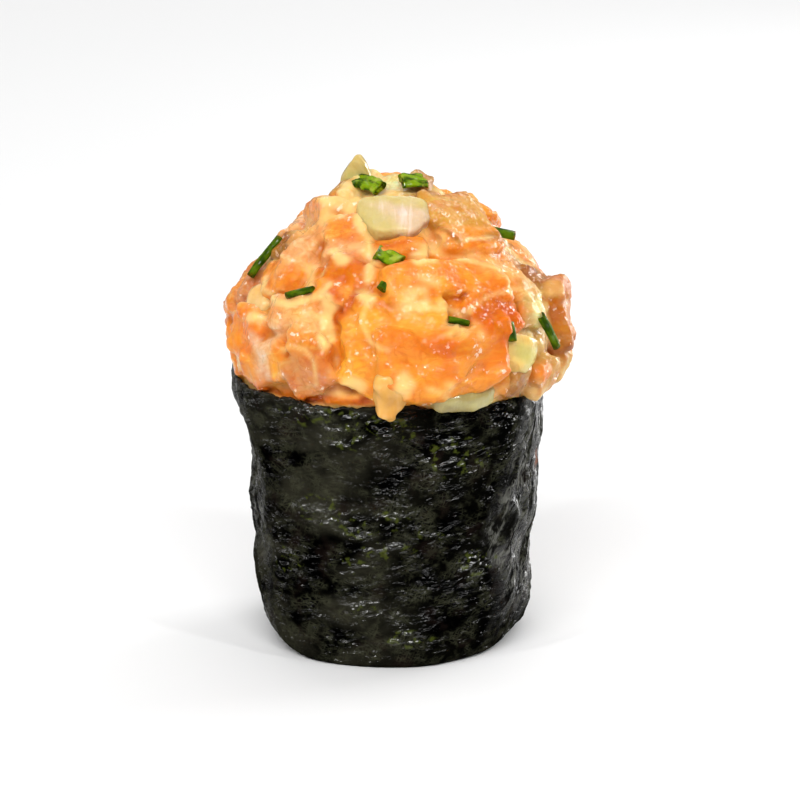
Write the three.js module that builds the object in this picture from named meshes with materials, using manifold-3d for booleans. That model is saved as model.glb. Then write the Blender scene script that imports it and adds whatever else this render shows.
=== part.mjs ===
// Gunkan sushi: pressed rice in an upright band of nori, heaped with chopped salmon in a creamy
// sauce, with pieces of onion and cut chives. Millimetres, +Z up. It stands on z = 0 with its
// front at -Y. Pieces are placed about the band's own axis: "around" is the angle in degrees from
// the front towards the right (+X), and "up" the height.
import * as THREE from "three";
import { mergeVertices } from "three/addons/utils/BufferGeometryUtils.js";
import Module from "manifold-3d";

const wasm = await Module();
wasm.setup();

// The band of nori: a strip stood on edge round the rice, tucked in below and flared at its rim.
const BAND = {
  halfWidth: 17,
  halfDepth: 17.9,
  cornerPower: 2.4,
  footPowerLeft: 2.7,
  footPowerRight: 2,
  footHeight: 9,
  height: 33.2,
  rimSlope: 0.3,
  wall: 0.5,
  tuckLeft: 5,
  tuckLeftHeight: 10,
  tuckRight: 3.8,
  tuckRightHeight: 7.5,
  tuckFront: 1.8,
  belly: 0.4,
  bellyHeight: 18.5,
  bellySpread: 4,
  flareLeft: 2.7,
  flareLeftFrom: 21,
  flareRight: 1.7,
  flareRightFrom: 14,
  flareFront: 1.2,
  lapStart: 128,
  lapEnd: 166,
  lapRamp: 10,
  segments: 56,
  lowRows: [0, 0.3, 1, 2.2, 4, 7],
  highRows: 10,
};
// The block of rice that the band holds.
const RICE = { top: 26.6, gap: 0.45, flatShare: 0.55, bump: 0.45, segments: 40 };
// The heap of salmon: widest a little above the rim, then drawn in to a blunt top.
const HEAP = {
  foot: 27,
  neckHeight: 6,
  neckDrawIn: 1.2,
  widest: 39,
  top: 59.5,
  radius: 20.7,
  shoulderPower: 1.85,
  leftShoulderPower: 1.7,
  depthShare: 1.03,
  leanRight: 0.5,
  lump: 0.4,
  cover: 1.3,
  segments: 42,
  rows: 14,
};
const CLEARANCE = 0.35;
// Where the band's axis stands, so that the origin is below the middle of the whole's reach.
const AXIS = { x: -0.65, y: 0.65 };
const CHIVE_SIDES = 8;

// Salmon pieces at the front and sides. up: height of a piece's middle. size: across, tall, deep.
// turn: degrees anticlockwise, seen from outside. proud: how far its face stands out of the heap.
// power: how square its edges are, where they are crisper than the others'.
const SALMON = [
  { around: 23, up: 48.2, size: [15.5, 6, 6], turn: -5, proud: 1.0 },
  { around: 17, up: 38.6, size: [16.4, 8.6, 6], turn: 4, proud: 1.1 },
  { around: 3, up: 44.2, size: [11, 5.8, 5], turn: 0, proud: 0.7 },
  { around: 37, up: 43.8, size: [6.8, 7, 5], turn: 20, proud: 0.9 },
  { around: 46, up: 51.4, size: [9.4, 3.8, 4], turn: -14, proud: 0.8 },
  { around: 58, up: 54.0, size: [9.6, 7, 5], turn: -22, proud: 1.0 },
  { around: 50, up: 47.8, size: [6.8, 5.4, 5], turn: -30, proud: 0.4 },
  { around: 5, up: 51.6, size: [7, 3, 4], turn: -4, proud: 0.2 },
  { around: 75, up: 57.5, size: [2.8, 2.4, 3], turn: 6, proud: 0.6 },
  { around: -19, up: 48.8, size: [6.6, 3.8, 4], turn: -22, proud: 0.6 },
  { around: -26, up: 51.0, size: [6.2, 2.8, 4], turn: 4, proud: 0.3 },
  { around: -23, up: 46.4, size: [5.2, 3.4, 4], turn: -10, proud: 0.6 },
  { around: -14, up: 44.6, size: [3.8, 2.6, 3], turn: 52, proud: 0.4 },
  { around: -8, up: 41.6, size: [6.4, 6.4, 4], turn: 12, proud: 0.5 },
  { around: -31, up: 52.9, size: [5.6, 4.6, 5], turn: 18, proud: 0.8 },
  { around: -64, up: 53.4, size: [5.2, 4.8, 5], turn: 8, proud: 1.5, lift: 42, power: 8 },
  { around: -53, up: 50.6, size: [4, 6.8, 4], turn: -16, proud: 0.9 },
  { around: -57, up: 47.4, size: [6.4, 5, 5], turn: 24, proud: 0.6 },
  { around: -72, up: 50.2, size: [5.4, 3.6, 5], turn: 24, proud: 0.6, power: 8 },
  { around: -78, up: 55.8, size: [4.6, 4.2, 4], turn: 24, proud: 1.1 },
  { around: -39, up: 44.2, size: [7.6, 4.4, 5], turn: 6, proud: 0.5 },
  { around: -61, up: 40.4, size: [6.6, 6.6, 6], turn: -8, proud: 0.9 },
  { around: -50, up: 37.2, size: [8.6, 5.4, 5], turn: 14, proud: 0.7 },
  { around: -29, up: 40.6, size: [5.6, 3.8, 4], turn: -18, proud: 0.6 },
  { around: -29, up: 37.2, size: [6.4, 5.4, 5], turn: 30, proud: 0.6 },
  { around: -9, up: 37.2, size: [6.4, 4.2, 4], turn: -28, proud: 0.4 },
  { around: 46, up: 35.4, size: [2.8, 4.6, 4], turn: -14, proud: 0.5 },
  { around: 62, up: 34.8, size: [6, 4.8, 5], turn: 8, proud: 0.9 },
  { around: 82, up: 34.6, size: [6.4, 4.4, 5], turn: -6, proud: 0.9 },
  { around: 80, up: 41.4, size: [5.6, 8.8, 6.4], turn: -2, proud: 1.2, lift: 10, power: 10 },
  { around: 59, up: 44.4, size: [4.2, 6, 4], turn: -20, proud: 0.7 },
  { around: 76, up: 46, size: [5, 3.4, 5], turn: -34, proud: 0.3 },
  { around: 30, up: 54.4, size: [5.4, 3.2, 4], turn: -24, proud: 0.4 },
];
// Onion pieces, each a solid of its own. taper: how much narrower its upper end is.
const ONION = [
  { name: "onion_petal", around: -1, up: 54.5, size: [8.5, 6.4, 3.2], proud: 1.1, taper: -0.5, power: 6 },
  { name: "onion_peak", around: -80, up: 56.6, size: [4.4, 7.4, 2.2], facing: -12, lift: 50, taper: 0.6 },
  { name: "onion_left", around: -64, up: 44, size: [4.8, 5, 3], turn: 24, proud: 0.5, taper: 0.1 },
  { name: "onion_right", around: 45, up: 39.2, size: [6.4, 5.6, 4], turn: -12, proud: 1.2, taper: 0.1 },
  { name: "onion_rim", around: 24, up: 34.7, size: [8.4, 2.6, 3.4], turn: 3, proud: 1.5, taper: 0 },
  { name: "onion_drip", around: -1, up: 35.2, size: [4.2, 6.4, 2.6], turn: 3, proud: 1.9, taper: -0.72 },
];
// Cut chives, fused to the heap. size: length, width, thickness.
const CHIVES = [
  { around: -37, up: 57.6, size: [4.6, 2.1, 0.9], turn: -4, proud: 0.9 },
  { around: 27, up: 57.4, size: [3.4, 2.6, 0.9], turn: -12, proud: 0.9 },
  { around: -3, up: 50.8, size: [3.4, 2.2, 0.9], turn: -32, proud: 0.9 },
  { around: -6, up: 48.0, size: [2.6, 1.3, 0.9], turn: 56, proud: 1.0 },
  { around: -39, up: 46.5, size: [3.8, 0.9, 0.9], turn: 18, proud: 1.1 },
  { around: -74, up: 49.0, size: [6.2, 1.2, 1.0], turn: 58, proud: 1.4 },
  { around: 22, up: 44.2, size: [2.7, 0.9, 0.9], turn: -16, proud: 1.2 },
  { around: 40, up: 42.2, size: [2.3, 1.2, 1.0], turn: 84, proud: 1.3 },
  { around: 60, up: 41.0, size: [5.0, 1.1, 1.0], turn: -62, proud: 1.2 },
  { around: 84, up: 50.0, size: [3.8, 1.5, 1.0], turn: -20, proud: 0.6, facing: 30 },
  { around: 126, up: 46.4, size: [4.4, 1.1, 1.0], turn: 34, proud: 1.0 },
  { around: 158, up: 53.0, size: [3.6, 1.2, 1.0], turn: -48, proud: 1.2 },
  { around: 182, up: 43.2, size: [4.8, 1.0, 1.0], turn: 12, proud: 1.2 },
  { around: 214, up: 49.6, size: [3.2, 1.3, 1.0], turn: 70, proud: 1.2 },
  { around: 243, up: 41.0, size: [4.6, 1.0, 1.0], turn: -26, proud: 1.2 },
];
// The salmon pieces of the back, which the view from the front doesn't give: rings of pieces.
const BACK_RINGS = [
  { up: 36.6, count: 7 },
  { up: 41.6, count: 7 },
  { up: 45.0, count: 6 },
  { up: 51.4, count: 5 },
  { up: 55.2, count: 3 },
  { up: 56.4, count: 2 },
];
const BACK = {
  from: 108,
  to: 280,
  long: [6, 10],
  tall: [4.4, 6.6],
  deep: 5,
  proud: [0, 0.8],
  wander: 1.2,
};

const radians = (degrees) => (degrees * Math.PI) / 180;
const clamp01 = (x) => Math.min(1, Math.max(0, x));
const between = (low, high, share) => low + (high - low) * share;

function smoothstep(from, to, x) {
  const share = clamp01((x - from) / (to - from));
  return share * share * (3 - 2 * share);
}

// A repeatable draw from 0 to 1 for a whole number.
function draw(number) {
  const wave = Math.sin(number * 12.9898 + 4.1414) * 43758.5453;
  return wave - Math.floor(wave);
}

// Distance from the axis to a rounded rectangle's outline, at an angle around it.
function planRadius(around, halfWidth, halfDepth, power) {
  const across = Math.abs(Math.sin(around)) / halfWidth;
  const along = Math.abs(Math.cos(around)) / halfDepth;
  return (across ** power + along ** power) ** (-1 / power);
}

// Shallow folds of the nori.
function folds(around, z) {
  const upright = 0.16 * Math.sin(9 * around + 0.12 * z + 0.6) * Math.abs(Math.sin(around));
  const slanted = 0.14 * Math.sin(5 * around - 0.34 * z + 2.1);
  const level = 0.1 * Math.sin(3 * around + 0.62 * z);
  return upright + slanted + level;
}

function rimHeight(around) {
  const nicks = 0.16 * Math.sin(7 * around + 0.8) + 0.1 * Math.sin(19 * around);
  return BAND.height - BAND.rimSlope * Math.sin(around) + nicks;
}

// The outer face of a single layer of the band.
function bandRadius(around, z) {
  const side = Math.sin(around);
  const right = smoothstep(-0.6, 0.6, side);
  const sideTuck = between(BAND.tuckLeft, BAND.tuckRight, right);
  const tuck = between(BAND.tuckFront, sideTuck, side * side);
  const low = clamp01(1 - z / between(BAND.tuckLeftHeight, BAND.tuckRightHeight, right));
  const sideFlare = side < 0 ? BAND.flareLeft : BAND.flareRight;
  const flare = between(BAND.flareFront, sideFlare, side * side);
  const from = between(BAND.flareLeftFrom, BAND.flareRightFrom, right);
  const belly = BAND.belly * Math.exp(-(((z - BAND.bellyHeight) / BAND.bellySpread) ** 2));
  const footPower = between(BAND.footPowerLeft, BAND.footPowerRight, right);
  const power = between(footPower, BAND.cornerPower, smoothstep(0, BAND.footHeight, z));
  return (
    planRadius(around, BAND.halfWidth, BAND.halfDepth, power) -
    tuck * (1 - Math.sqrt(1 - low * low)) +
    flare * smoothstep(from, BAND.height, z) +
    belly +
    folds(around, z)
  );
}

// How much of a second layer lies on the first: the strip's end overlaps its start at the back.
function lapShare(around) {
  const degrees = (THREE.MathUtils.radToDeg(around) + 360) % 360;
  if (degrees < BAND.lapStart || degrees > BAND.lapEnd) return 0;
  return smoothstep(BAND.lapStart, BAND.lapStart + BAND.lapRamp, degrees);
}

// The heap's own surface, as a distance from the axis.
function heapRadius(around, z) {
  const above = clamp01((z - HEAP.widest) / (HEAP.top - HEAP.widest));
  const below = Math.max(0, HEAP.widest - z) / HEAP.neckHeight;
  const leftwards = Math.max(0, -Math.sin(around));
  const power = between(HEAP.shoulderPower, HEAP.leftShoulderPower, leftwards * leftwards);
  const round = HEAP.radius * (1 - above ** power) - HEAP.neckDrawIn * below * below;
  const plan = 1 / Math.hypot(Math.sin(around), Math.cos(around) / HEAP.depthShare);
  return Math.max(0, round * plan + HEAP.leanRight * Math.sin(around) * (1 - above));
}

function heapLumps(around, z) {
  const broad = Math.sin(4 * around + 0.3 * z + 1.3) + Math.sin(6 * around - 0.45 * z);
  return HEAP.lump * broad * (1 - smoothstep(HEAP.widest + 12, HEAP.top, z));
}

// A geometry with one vertex where several share a place.
function welded(geometry) {
  geometry.deleteAttribute("normal");
  geometry.deleteAttribute("uv");
  return mergeVertices(geometry, 1e-4);
}

// Moves every point of a turned shape: place(around, radius, height) gives its [radius, height].
function reshapeTurned(turned, place) {
  const geometry = welded(turned).rotateX(Math.PI / 2);
  const at = geometry.getAttribute("position");
  for (let i = 0; i < at.count; i++) {
    const around = Math.atan2(at.getX(i), -at.getY(i));
    const [radius, height] = place(around, Math.hypot(at.getX(i), at.getY(i)), at.getZ(i));
    at.setXYZ(i, radius * Math.sin(around), -radius * Math.cos(around), height);
  }
  return geometry;
}

// A ring whose section runs up the outer face (radius 2) and down the inner face (radius 1).
function bandGeometry(grow = 0) {
  const top = BAND.height;
  const low = BAND.lowRows;
  const rows = Array.from({ length: BAND.highRows }, (_, i) =>
    between(low.at(-1), top, (i + 1) / BAND.highRows),
  );
  const outside = [...low, ...rows];
  const inside = [...low, ...rows.filter((_, i) => i % 2 === 1)].reverse();
  const section = [
    ...outside.map((z) => new THREE.Vector2(2, z)),
    ...inside.map((z) => new THREE.Vector2(1, z)),
    new THREE.Vector2(2, 0),
  ];
  const turned = new THREE.LatheGeometry(section, BAND.segments);
  return reshapeTurned(turned, (around, radius, row) => {
    const z = between(row, (row * rimHeight(around)) / top, smoothstep(low.at(-1), top, row));
    const outer = radius > 1.5;
    const face = bandRadius(around, z) + (outer ? BAND.wall * lapShare(around) : -BAND.wall);
    return [face + (outer ? grow : -grow), z + (row === top ? grow : 0)];
  });
}

function riceGeometry() {
  const shares = [1, 0.92, 0.84, 0.76, 0.68, 0.6, RICE.flatShare, 0];
  const section = [0, 0.96].map((share) => new THREE.Vector2(share, RICE.top));
  for (const z of [RICE.top - 1, 20, 15, 10, ...BAND.lowRows.slice(1).reverse()]) {
    section.push(new THREE.Vector2(1, z));
  }
  section.push(...shares.map((share) => new THREE.Vector2(share, 0)));
  const turned = new THREE.LatheGeometry(section.reverse(), RICE.segments);
  return reshapeTurned(turned, (around, share, z) => {
    const ridges = 0.5 + 0.5 * Math.sin(14 * around + 30 * share) * Math.cos(21 * share + 5 * around);
    const raised = z === 0 && share > RICE.flatShare + 0.01 ? RICE.bump * ridges : 0;
    return [share * (bandRadius(around, z) - BAND.wall - RICE.gap), z + raised];
  });
}

// The body of the heap: it fills the band above the rice and swells out over the rim.
function heapCoreGeometry() {
  const section = [new THREE.Vector2(0, HEAP.foot), new THREE.Vector2(1, HEAP.foot)];
  for (let row = 1; row < HEAP.rows; row++) {
    const share = row / HEAP.rows;
    const height = between(HEAP.foot, HEAP.top - HEAP.cover, Math.sin(share * Math.PI * 0.5));
    section.push(new THREE.Vector2(1, height));
  }
  section.push(new THREE.Vector2(0, HEAP.top - HEAP.cover));
  const turned = new THREE.LatheGeometry(section, HEAP.segments);
  return reshapeTurned(turned, (around, share, z) => {
    const open = heapRadius(around, z) + heapLumps(around, z) - HEAP.cover;
    const held = bandRadius(around, z) - BAND.wall - CLEARANCE;
    const rim = smoothstep(rimHeight(around) - 1, rimHeight(around) + 1, z);
    return [share * Math.max(0.4, between(Math.min(held, open + HEAP.cover), open, rim)), z];
  });
}

// A block with rounded edges, as wide as size says, narrowed towards one end by its taper.
function pieceGeometry(size, { segments = 3, power = 4.5, taper = 0, grow = 0 } = {}) {
  const piece = welded(new THREE.BoxGeometry(2, 2, 2, segments, segments, segments));
  const at = piece.getAttribute("position");
  const point = new THREE.Vector3();
  for (let i = 0; i < at.count; i++) {
    point.fromBufferAttribute(at, i);
    const sum = Math.abs(point.x) ** power + Math.abs(point.y) ** power + Math.abs(point.z) ** power;
    point.divideScalar(sum ** (1 / power));
    const width = 1 - taper * point.y;
    at.setXYZ(
      i,
      point.x * (size[0] / 2 + grow) * (taper ? Math.min(1, width) : 1),
      point.y * (size[1] / 2 + grow),
      point.z * (size[2] / 2 + grow),
    );
  }
  return piece;
}

// The turn and place that set a piece on the heap: its own x runs around, y up and z outwards.
// A piece faces away from the axis unless facing gives another angle; lift stands it more upright.
function onHeap({ around, up, size, turn = 0, proud = 0, lift = 0, facing = around }) {
  const angle = radians(around);
  const step = 0.5;
  const height = Math.min(up, HEAP.top - step);
  const slope = (heapRadius(angle, height - step) - heapRadius(angle, height + step)) / (2 * step);
  const rise = Math.atan(slope) - radians(lift);
  const front = radians(facing);
  const outwards = new THREE.Vector3(Math.sin(front), -Math.cos(front), Math.tan(rise)).normalize();
  const along = new THREE.Vector3(Math.cos(front), Math.sin(front), 0);
  const upwards = outwards.clone().cross(along);
  const radius = heapRadius(angle, up);
  const spot = new THREE.Vector3(radius * Math.sin(angle), -radius * Math.cos(angle), up);
  spot.addScaledVector(outwards, proud - size[2] / 2);
  return new THREE.Matrix4()
    .makeBasis(along, upwards, outwards)
    .setPosition(spot)
    .multiply(new THREE.Matrix4().makeRotationZ(radians(turn)));
}

// Every geometry that comes here is welded already.
function solidOf(geometry) {
  const mesh = new wasm.Mesh({
    numProp: 3,
    vertProperties: new Float32Array(geometry.getAttribute("position").array),
    triVerts: new Uint32Array(geometry.index.array),
  });
  return new wasm.Manifold(mesh);
}

function geometryOf(solid) {
  const mesh = solid.getMesh();
  const geometry = new THREE.BufferGeometry();
  geometry.setAttribute("position", new THREE.BufferAttribute(new Float32Array(mesh.vertProperties), 3));
  geometry.setIndex(new THREE.BufferAttribute(new Uint32Array(mesh.triVerts), 1));
  geometry.computeVertexNormals();
  return geometry;
}

function pieceSolid(piece, shape) {
  const geometry = pieceGeometry(piece.size, { power: piece.power, ...shape });
  return solidOf(geometry.applyMatrix4(onHeap(piece)));
}

function chiveSolid(piece) {
  const [length, width, thickness] = piece.size;
  const rod = welded(new THREE.CylinderGeometry(0.5, 0.5, 1, CHIVE_SIDES));
  rod.rotateZ(Math.PI / 2).scale(length, width, thickness);
  return solidOf(rod.applyMatrix4(onHeap(piece)));
}

function backPieces() {
  const pieces = [];
  for (const ring of BACK_RINGS) {
    for (let i = 0; i < ring.count; i++) {
      const number = pieces.length;
      const share = (i + 0.5 + 0.5 * (draw(number) - 0.5)) / ring.count;
      pieces.push({
        around: between(BACK.from, BACK.to, share),
        up: ring.up + BACK.wander * (2 * draw(number + 40) - 1),
        size: [
          between(...BACK.long, draw(number + 80)) * (ring.up > 54 ? 0.7 : 1),
          between(...BACK.tall, draw(number + 120)),
          BACK.deep,
        ],
        turn: 60 * (draw(number + 160) - 0.5),
        proud: between(...BACK.proud, draw(number + 200)),
      });
    }
  }
  return pieces;
}

// The largest body of a solid, without the loose scraps that a cut can leave.
function largestBody(solid) {
  return solid.decompose().reduce((best, body) => (body.volume() > best.volume() ? body : best));
}

function heapGeometry() {
  const salmon = [...SALMON, ...backPieces()].map((piece) =>
    pieceSolid(piece, { segments: Math.max(...piece.size) > 9 ? 3 : 2 }),
  );
  let heap = [...salmon, ...CHIVES.map(chiveSolid)].reduce(
    (whole, solid) => whole.add(solid),
    solidOf(heapCoreGeometry()),
  );
  for (const piece of ONION) {
    heap = heap.subtract(pieceSolid(piece, { taper: piece.taper, grow: CLEARANCE }));
  }
  heap = heap.subtract(solidOf(bandGeometry(CLEARANCE)));
  return geometryOf(largestBody(heap));
}

// An onion piece, cut clear of the band and of the onion pieces before it.
function onionGeometry(index) {
  const piece = ONION[index];
  let solid = pieceSolid(piece, { taper: piece.taper });
  solid = solid.subtract(solidOf(bandGeometry(CLEARANCE)));
  for (const before of ONION.slice(0, index)) {
    solid = solid.subtract(pieceSolid(before, { taper: before.taper, grow: CLEARANCE }));
  }
  return geometryOf(largestBody(solid));
}

const noriFinish = new THREE.MeshStandardMaterial({ color: 0x15170f, roughness: 0.42 });
const riceFinish = new THREE.MeshStandardMaterial({ color: 0xf0ece0, roughness: 0.5 });
const salmonFinish = new THREE.MeshStandardMaterial({ color: 0xf29a4a, roughness: 0.25 });
const onionFinish = new THREE.MeshStandardMaterial({ color: 0xe9d79a, roughness: 0.25 });

const gunkan = new THREE.Group();
gunkan.position.set(AXIS.x, AXIS.y, 0);

function addPart(name, geometry, finish) {
  const mesh = new THREE.Mesh(geometry, finish);
  mesh.name = name;
  gunkan.add(mesh);
}

addPart("nori_band", bandGeometry(), noriFinish);
addPart("rice_block", riceGeometry(), riceFinish);
addPart("salmon_heap", heapGeometry(), salmonFinish);
ONION.forEach((piece, index) => addPart(piece.name, onionGeometry(index), onionFinish));

export default gunkan;
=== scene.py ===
"""Gunkan sushi, dressed: crinkled nori, a heap of chopped salmon in creamy sauce, onion, chives and rice.

Lengths are in millimetres until a piece is finished, when it is scaled to metres. Places on the heap
are given about the band's axis: around in degrees from the front towards the right, up as a height.
"""

import math

import bmesh
import bpy
import numpy as np
from mathutils import Euler, Matrix, Vector, noise


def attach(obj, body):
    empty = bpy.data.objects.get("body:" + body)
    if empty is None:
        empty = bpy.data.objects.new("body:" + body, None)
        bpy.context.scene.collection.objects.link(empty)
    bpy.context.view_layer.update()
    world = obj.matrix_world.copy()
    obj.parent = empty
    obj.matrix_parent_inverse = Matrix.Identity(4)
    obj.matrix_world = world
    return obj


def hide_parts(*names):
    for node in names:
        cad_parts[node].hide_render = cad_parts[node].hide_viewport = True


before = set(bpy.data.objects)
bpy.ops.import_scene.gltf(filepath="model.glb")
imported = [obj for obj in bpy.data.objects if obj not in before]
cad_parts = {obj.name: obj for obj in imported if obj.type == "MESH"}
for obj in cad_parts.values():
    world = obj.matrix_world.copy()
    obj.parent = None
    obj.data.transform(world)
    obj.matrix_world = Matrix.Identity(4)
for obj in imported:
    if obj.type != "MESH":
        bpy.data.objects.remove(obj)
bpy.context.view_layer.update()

MM = 0.001
noise.seed_set(11)
BODY = "root"

# ---- sizes, as in the solids
AXIS = Vector((-0.65, 0.65, 0))
CLEARANCE = 0.35

BAND_HALF_WIDTH, BAND_HALF_DEPTH = 17.0, 17.9
BAND_CORNER_POWER, BAND_FOOT_HEIGHT = 2.4, 9.0
FOOT_POWER_LEFT, FOOT_POWER_RIGHT = 2.7, 2.0
BAND_HEIGHT, BAND_RIM_SLOPE, BAND_WALL = 33.2, 0.3, 0.5
TUCK_LEFT, TUCK_LEFT_HEIGHT = 5.0, 10.0
TUCK_RIGHT, TUCK_RIGHT_HEIGHT, TUCK_FRONT = 3.8, 7.5, 1.8
BELLY, BELLY_HEIGHT, BELLY_SPREAD = 0.4, 18.5, 4.0
FLARE_LEFT, FLARE_LEFT_FROM = 2.7, 21.0
FLARE_RIGHT, FLARE_RIGHT_FROM = 1.7, 14.0
FLARE_FRONT = 1.2
LAP_START, LAP_END, LAP_RAMP = 128.0, 166.0, 10.0

HEAP_FOOT, HEAP_NECK_HEIGHT, HEAP_NECK_DRAW_IN = 27.0, 6.0, 1.2
HEAP_WIDEST, HEAP_TOP, HEAP_RADIUS = 39.0, 59.5, 20.7
SHOULDER_POWER, LEFT_SHOULDER_POWER, HEAP_DEPTH_SHARE, HEAP_LEAN_RIGHT = 1.85, 1.7, 1.03, 0.5
HEAP_LUMP, HEAP_COVER = 0.4, 1.3


# A piece of the heap. up is the height of its middle, size is across, tall and deep, turn is in
# degrees anticlockwise seen from outside, and proud is how far its face stands out of the heap.
# Some also have a power for how square their corners are, a lift in degrees that sets them more
# upright, a facing for the way they look, or an uneven for how far they are bent out of shape.
def piece(around, up, size, turn=0, proud=0, look="orange", **more):
    return dict(around=around, up=up, size=size, turn=turn, proud=proud, look=look, **more)


SALMON = [
    piece(23, 48.2, (15.5, 6, 6), -5, 1.0),
    piece(17, 38.6, (16.4, 8.6, 6), 4, 1.1),
    piece(3, 44.2, (11, 5.8, 5), 0, 0.7, "yolk"),
    piece(37, 43.8, (6.8, 7, 5), 20, 0.9, "deep"),
    piece(46, 51.4, (9.4, 3.8, 4), -14, 0.8),
    piece(58, 54.0, (9.6, 7, 5), -22, 1.0, "amber"),
    piece(50, 47.8, (6.8, 5.4, 5), -30, 0.4, "coral"),
    piece(5, 51.6, (7, 3, 4), -4, 0.2, "orange"),
    piece(75, 57.5, (2.8, 2.4, 3), 6, 0.6, "brown"),
    piece(-19, 48.8, (6.6, 3.8, 4), -22, 0.6, "deep"),
    piece(-26, 51.0, (6.2, 2.8, 4), 4, 0.3, "pink"),
    piece(-23, 46.4, (5.2, 3.4, 4), -10, 0.6),
    piece(-14, 44.6, (3.8, 2.6, 3), 52, 0.4, "deep"),
    piece(-8, 41.6, (6.4, 6.4, 4), 12, 0.5, "yolk"),
    piece(-31, 52.9, (5.6, 4.6, 5), 18, 0.8),
    piece(-64, 53.4, (5.2, 4.8, 5), 8, 1.5, "coral", lift=42, power=8),
    piece(-53, 50.6, (4, 6.8, 4), -16, 0.9, "pink"),
    piece(-57, 47.4, (6.4, 5, 5), 24, 0.6),
    piece(-72, 50.2, (5.4, 3.6, 5), 24, 0.6, "brown", power=8),
    piece(-78, 55.8, (4.6, 4.2, 4), 24, 1.1, "amber"),
    piece(-39, 44.2, (7.6, 4.4, 5), 6, 0.5, "pink"),
    piece(-61, 40.4, (6.6, 6.6, 6), -8, 0.9),
    piece(-50, 37.2, (8.6, 5.4, 5), 14, 0.7, "coral"),
    piece(-29, 40.6, (5.6, 3.8, 4), -18, 0.6),
    piece(-29, 37.2, (6.4, 5.4, 5), 30, 0.6, "rose"),
    piece(-9, 37.2, (6.4, 4.2, 4), -28, 0.4, "yolk"),
    piece(46, 35.4, (2.8, 4.6, 4), -14, 0.5, "brown"),
    piece(62, 34.8, (6, 4.8, 5), 8, 0.9, "tan"),
    piece(82, 34.6, (6.4, 4.4, 5), -6, 0.9, "tan"),
    piece(80, 41.4, (5.6, 8.8, 6.4), -2, 1.2, "rust", lift=10, power=10),
    piece(59, 44.4, (4.2, 6, 4), -20, 0.7, "tan"),
    piece(76, 46, (5, 3.4, 5), -34, 0.3, "brown"),
    piece(30, 54.4, (5.4, 3.2, 4), -24, 0.4, "yolk"),
]
# taper is how much narrower the upper end is, or below zero the lower end.
ONION = {
    "onion_petal": piece(1, 54.3, (8.6, 6.2, 3.2), 0, 1.1, "petal", taper=-0.45, power=8),
    "onion_peak": piece(-80, 56.6, (4.4, 7.4, 2.2), 0, 0, "peak", facing=-12, lift=50, taper=0.7, uneven=0.5),
    "onion_left": piece(-64, 44, (4.8, 5, 3), 24, 0.5, "pale", taper=0.1),
    "onion_right": piece(45, 39.0, (6.9, 5.1, 4), -12, 1.0, "lime", taper=0.1, uneven=0.8, power=2.8),
    "onion_rim": piece(24, 34.4, (8.4, 2.6, 3.4), 3, 1.5, "rim", taper=0),
    "onion_drip": piece(-1, 35.2, (4.2, 6.4, 2.6), 3, 1.9, "amber", taper=-0.72, uneven=0.6),
}
# Cut chives: size is length, width and thickness.
CHIVES = [
    piece(-45, 57.1, (4.8, 2.4, 0.9), -8, 0.9, "flake"),
    piece(36, 57.4, (3.2, 2.7, 0.9), -14, 0.9, "flake"),
    piece(-2, 50.3, (3.2, 2.2, 0.9), -32, 0.9, "flake"),
    piece(-2, 47.7, (2.8, 1.3, 0.9), 58, 1.5, "rod"),
    piece(-37, 46.0, (3.7, 0.8, 0.9), 22, 1.1, "rod"),
    piece(-77, 47.9, (6.0, 1.2, 1.0), 104, 1.3, "rod"),
    piece(22, 43.5, (2.7, 0.8, 0.9), -16, 1.2, "rod"),
    piece(39.5, 41.7, (2.3, 1.4, 1.1), 84, 1.7, "rod"),
    piece(60, 40.6, (5.0, 1.1, 1.0), -62, 1.2, "rod"),
    piece(84, 51.0, (3.6, 1.4, 1.0), -22, 0.4, "rod", facing=30),
    piece(126, 46.4, (4.4, 1.1, 1.0), 34, 1.0, "rod"),
    piece(158, 53.0, (3.6, 1.2, 1.0), -48, 1.2, "rod"),
    piece(182, 43.2, (4.8, 1.0, 1.0), 12, 1.2, "rod"),
    piece(214, 49.6, (3.2, 1.3, 1.0), 70, 1.2, "rod"),
    piece(243, 41.0, (4.6, 1.0, 1.0), -26, 1.2, "rod"),
]
# The pieces at the back lie in rings: the height of each ring and how many pieces it has.
BACK_RINGS = [(36.6, 7), (41.6, 7), (45.0, 6), (51.4, 5), (55.2, 3), (56.4, 2)]
BACK_FROM, BACK_TO = 108, 280
BACK_TOP_FROM, BACK_TOP_SHARE = 54, 0.7
BACK_LONG, BACK_TALL, BACK_DEEP, BACK_PROUD, BACK_WANDER = (6, 10), (4.4, 6.6), 5, (0, 0.8), 1.2
BACK_LOOKS = ["orange", "coral", "deep", "orange", "pink", "yolk", "orange", "tan", "coral", "rose"]

# ---- colours, as seen in daylight
FLESH = {
    "orange": (227, 137, 40),
    "deep": (208, 104, 4),
    "slit": (190, 84, 0),
    "yolk": (232, 154, 46),
    "coral": (218, 140, 62),
    "pink": (226, 164, 104),
    "rose": (202, 128, 66),
    "tan": (204, 158, 88),
    "amber": (200, 140, 56),
    "rust": (186, 112, 26),
    "brown": (156, 98, 30),
    "lilac": (224, 184, 146),
    "peach": (228, 168, 94),
    "lime": (222, 204, 130),
}
SAUCE = (236, 202, 128)
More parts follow.
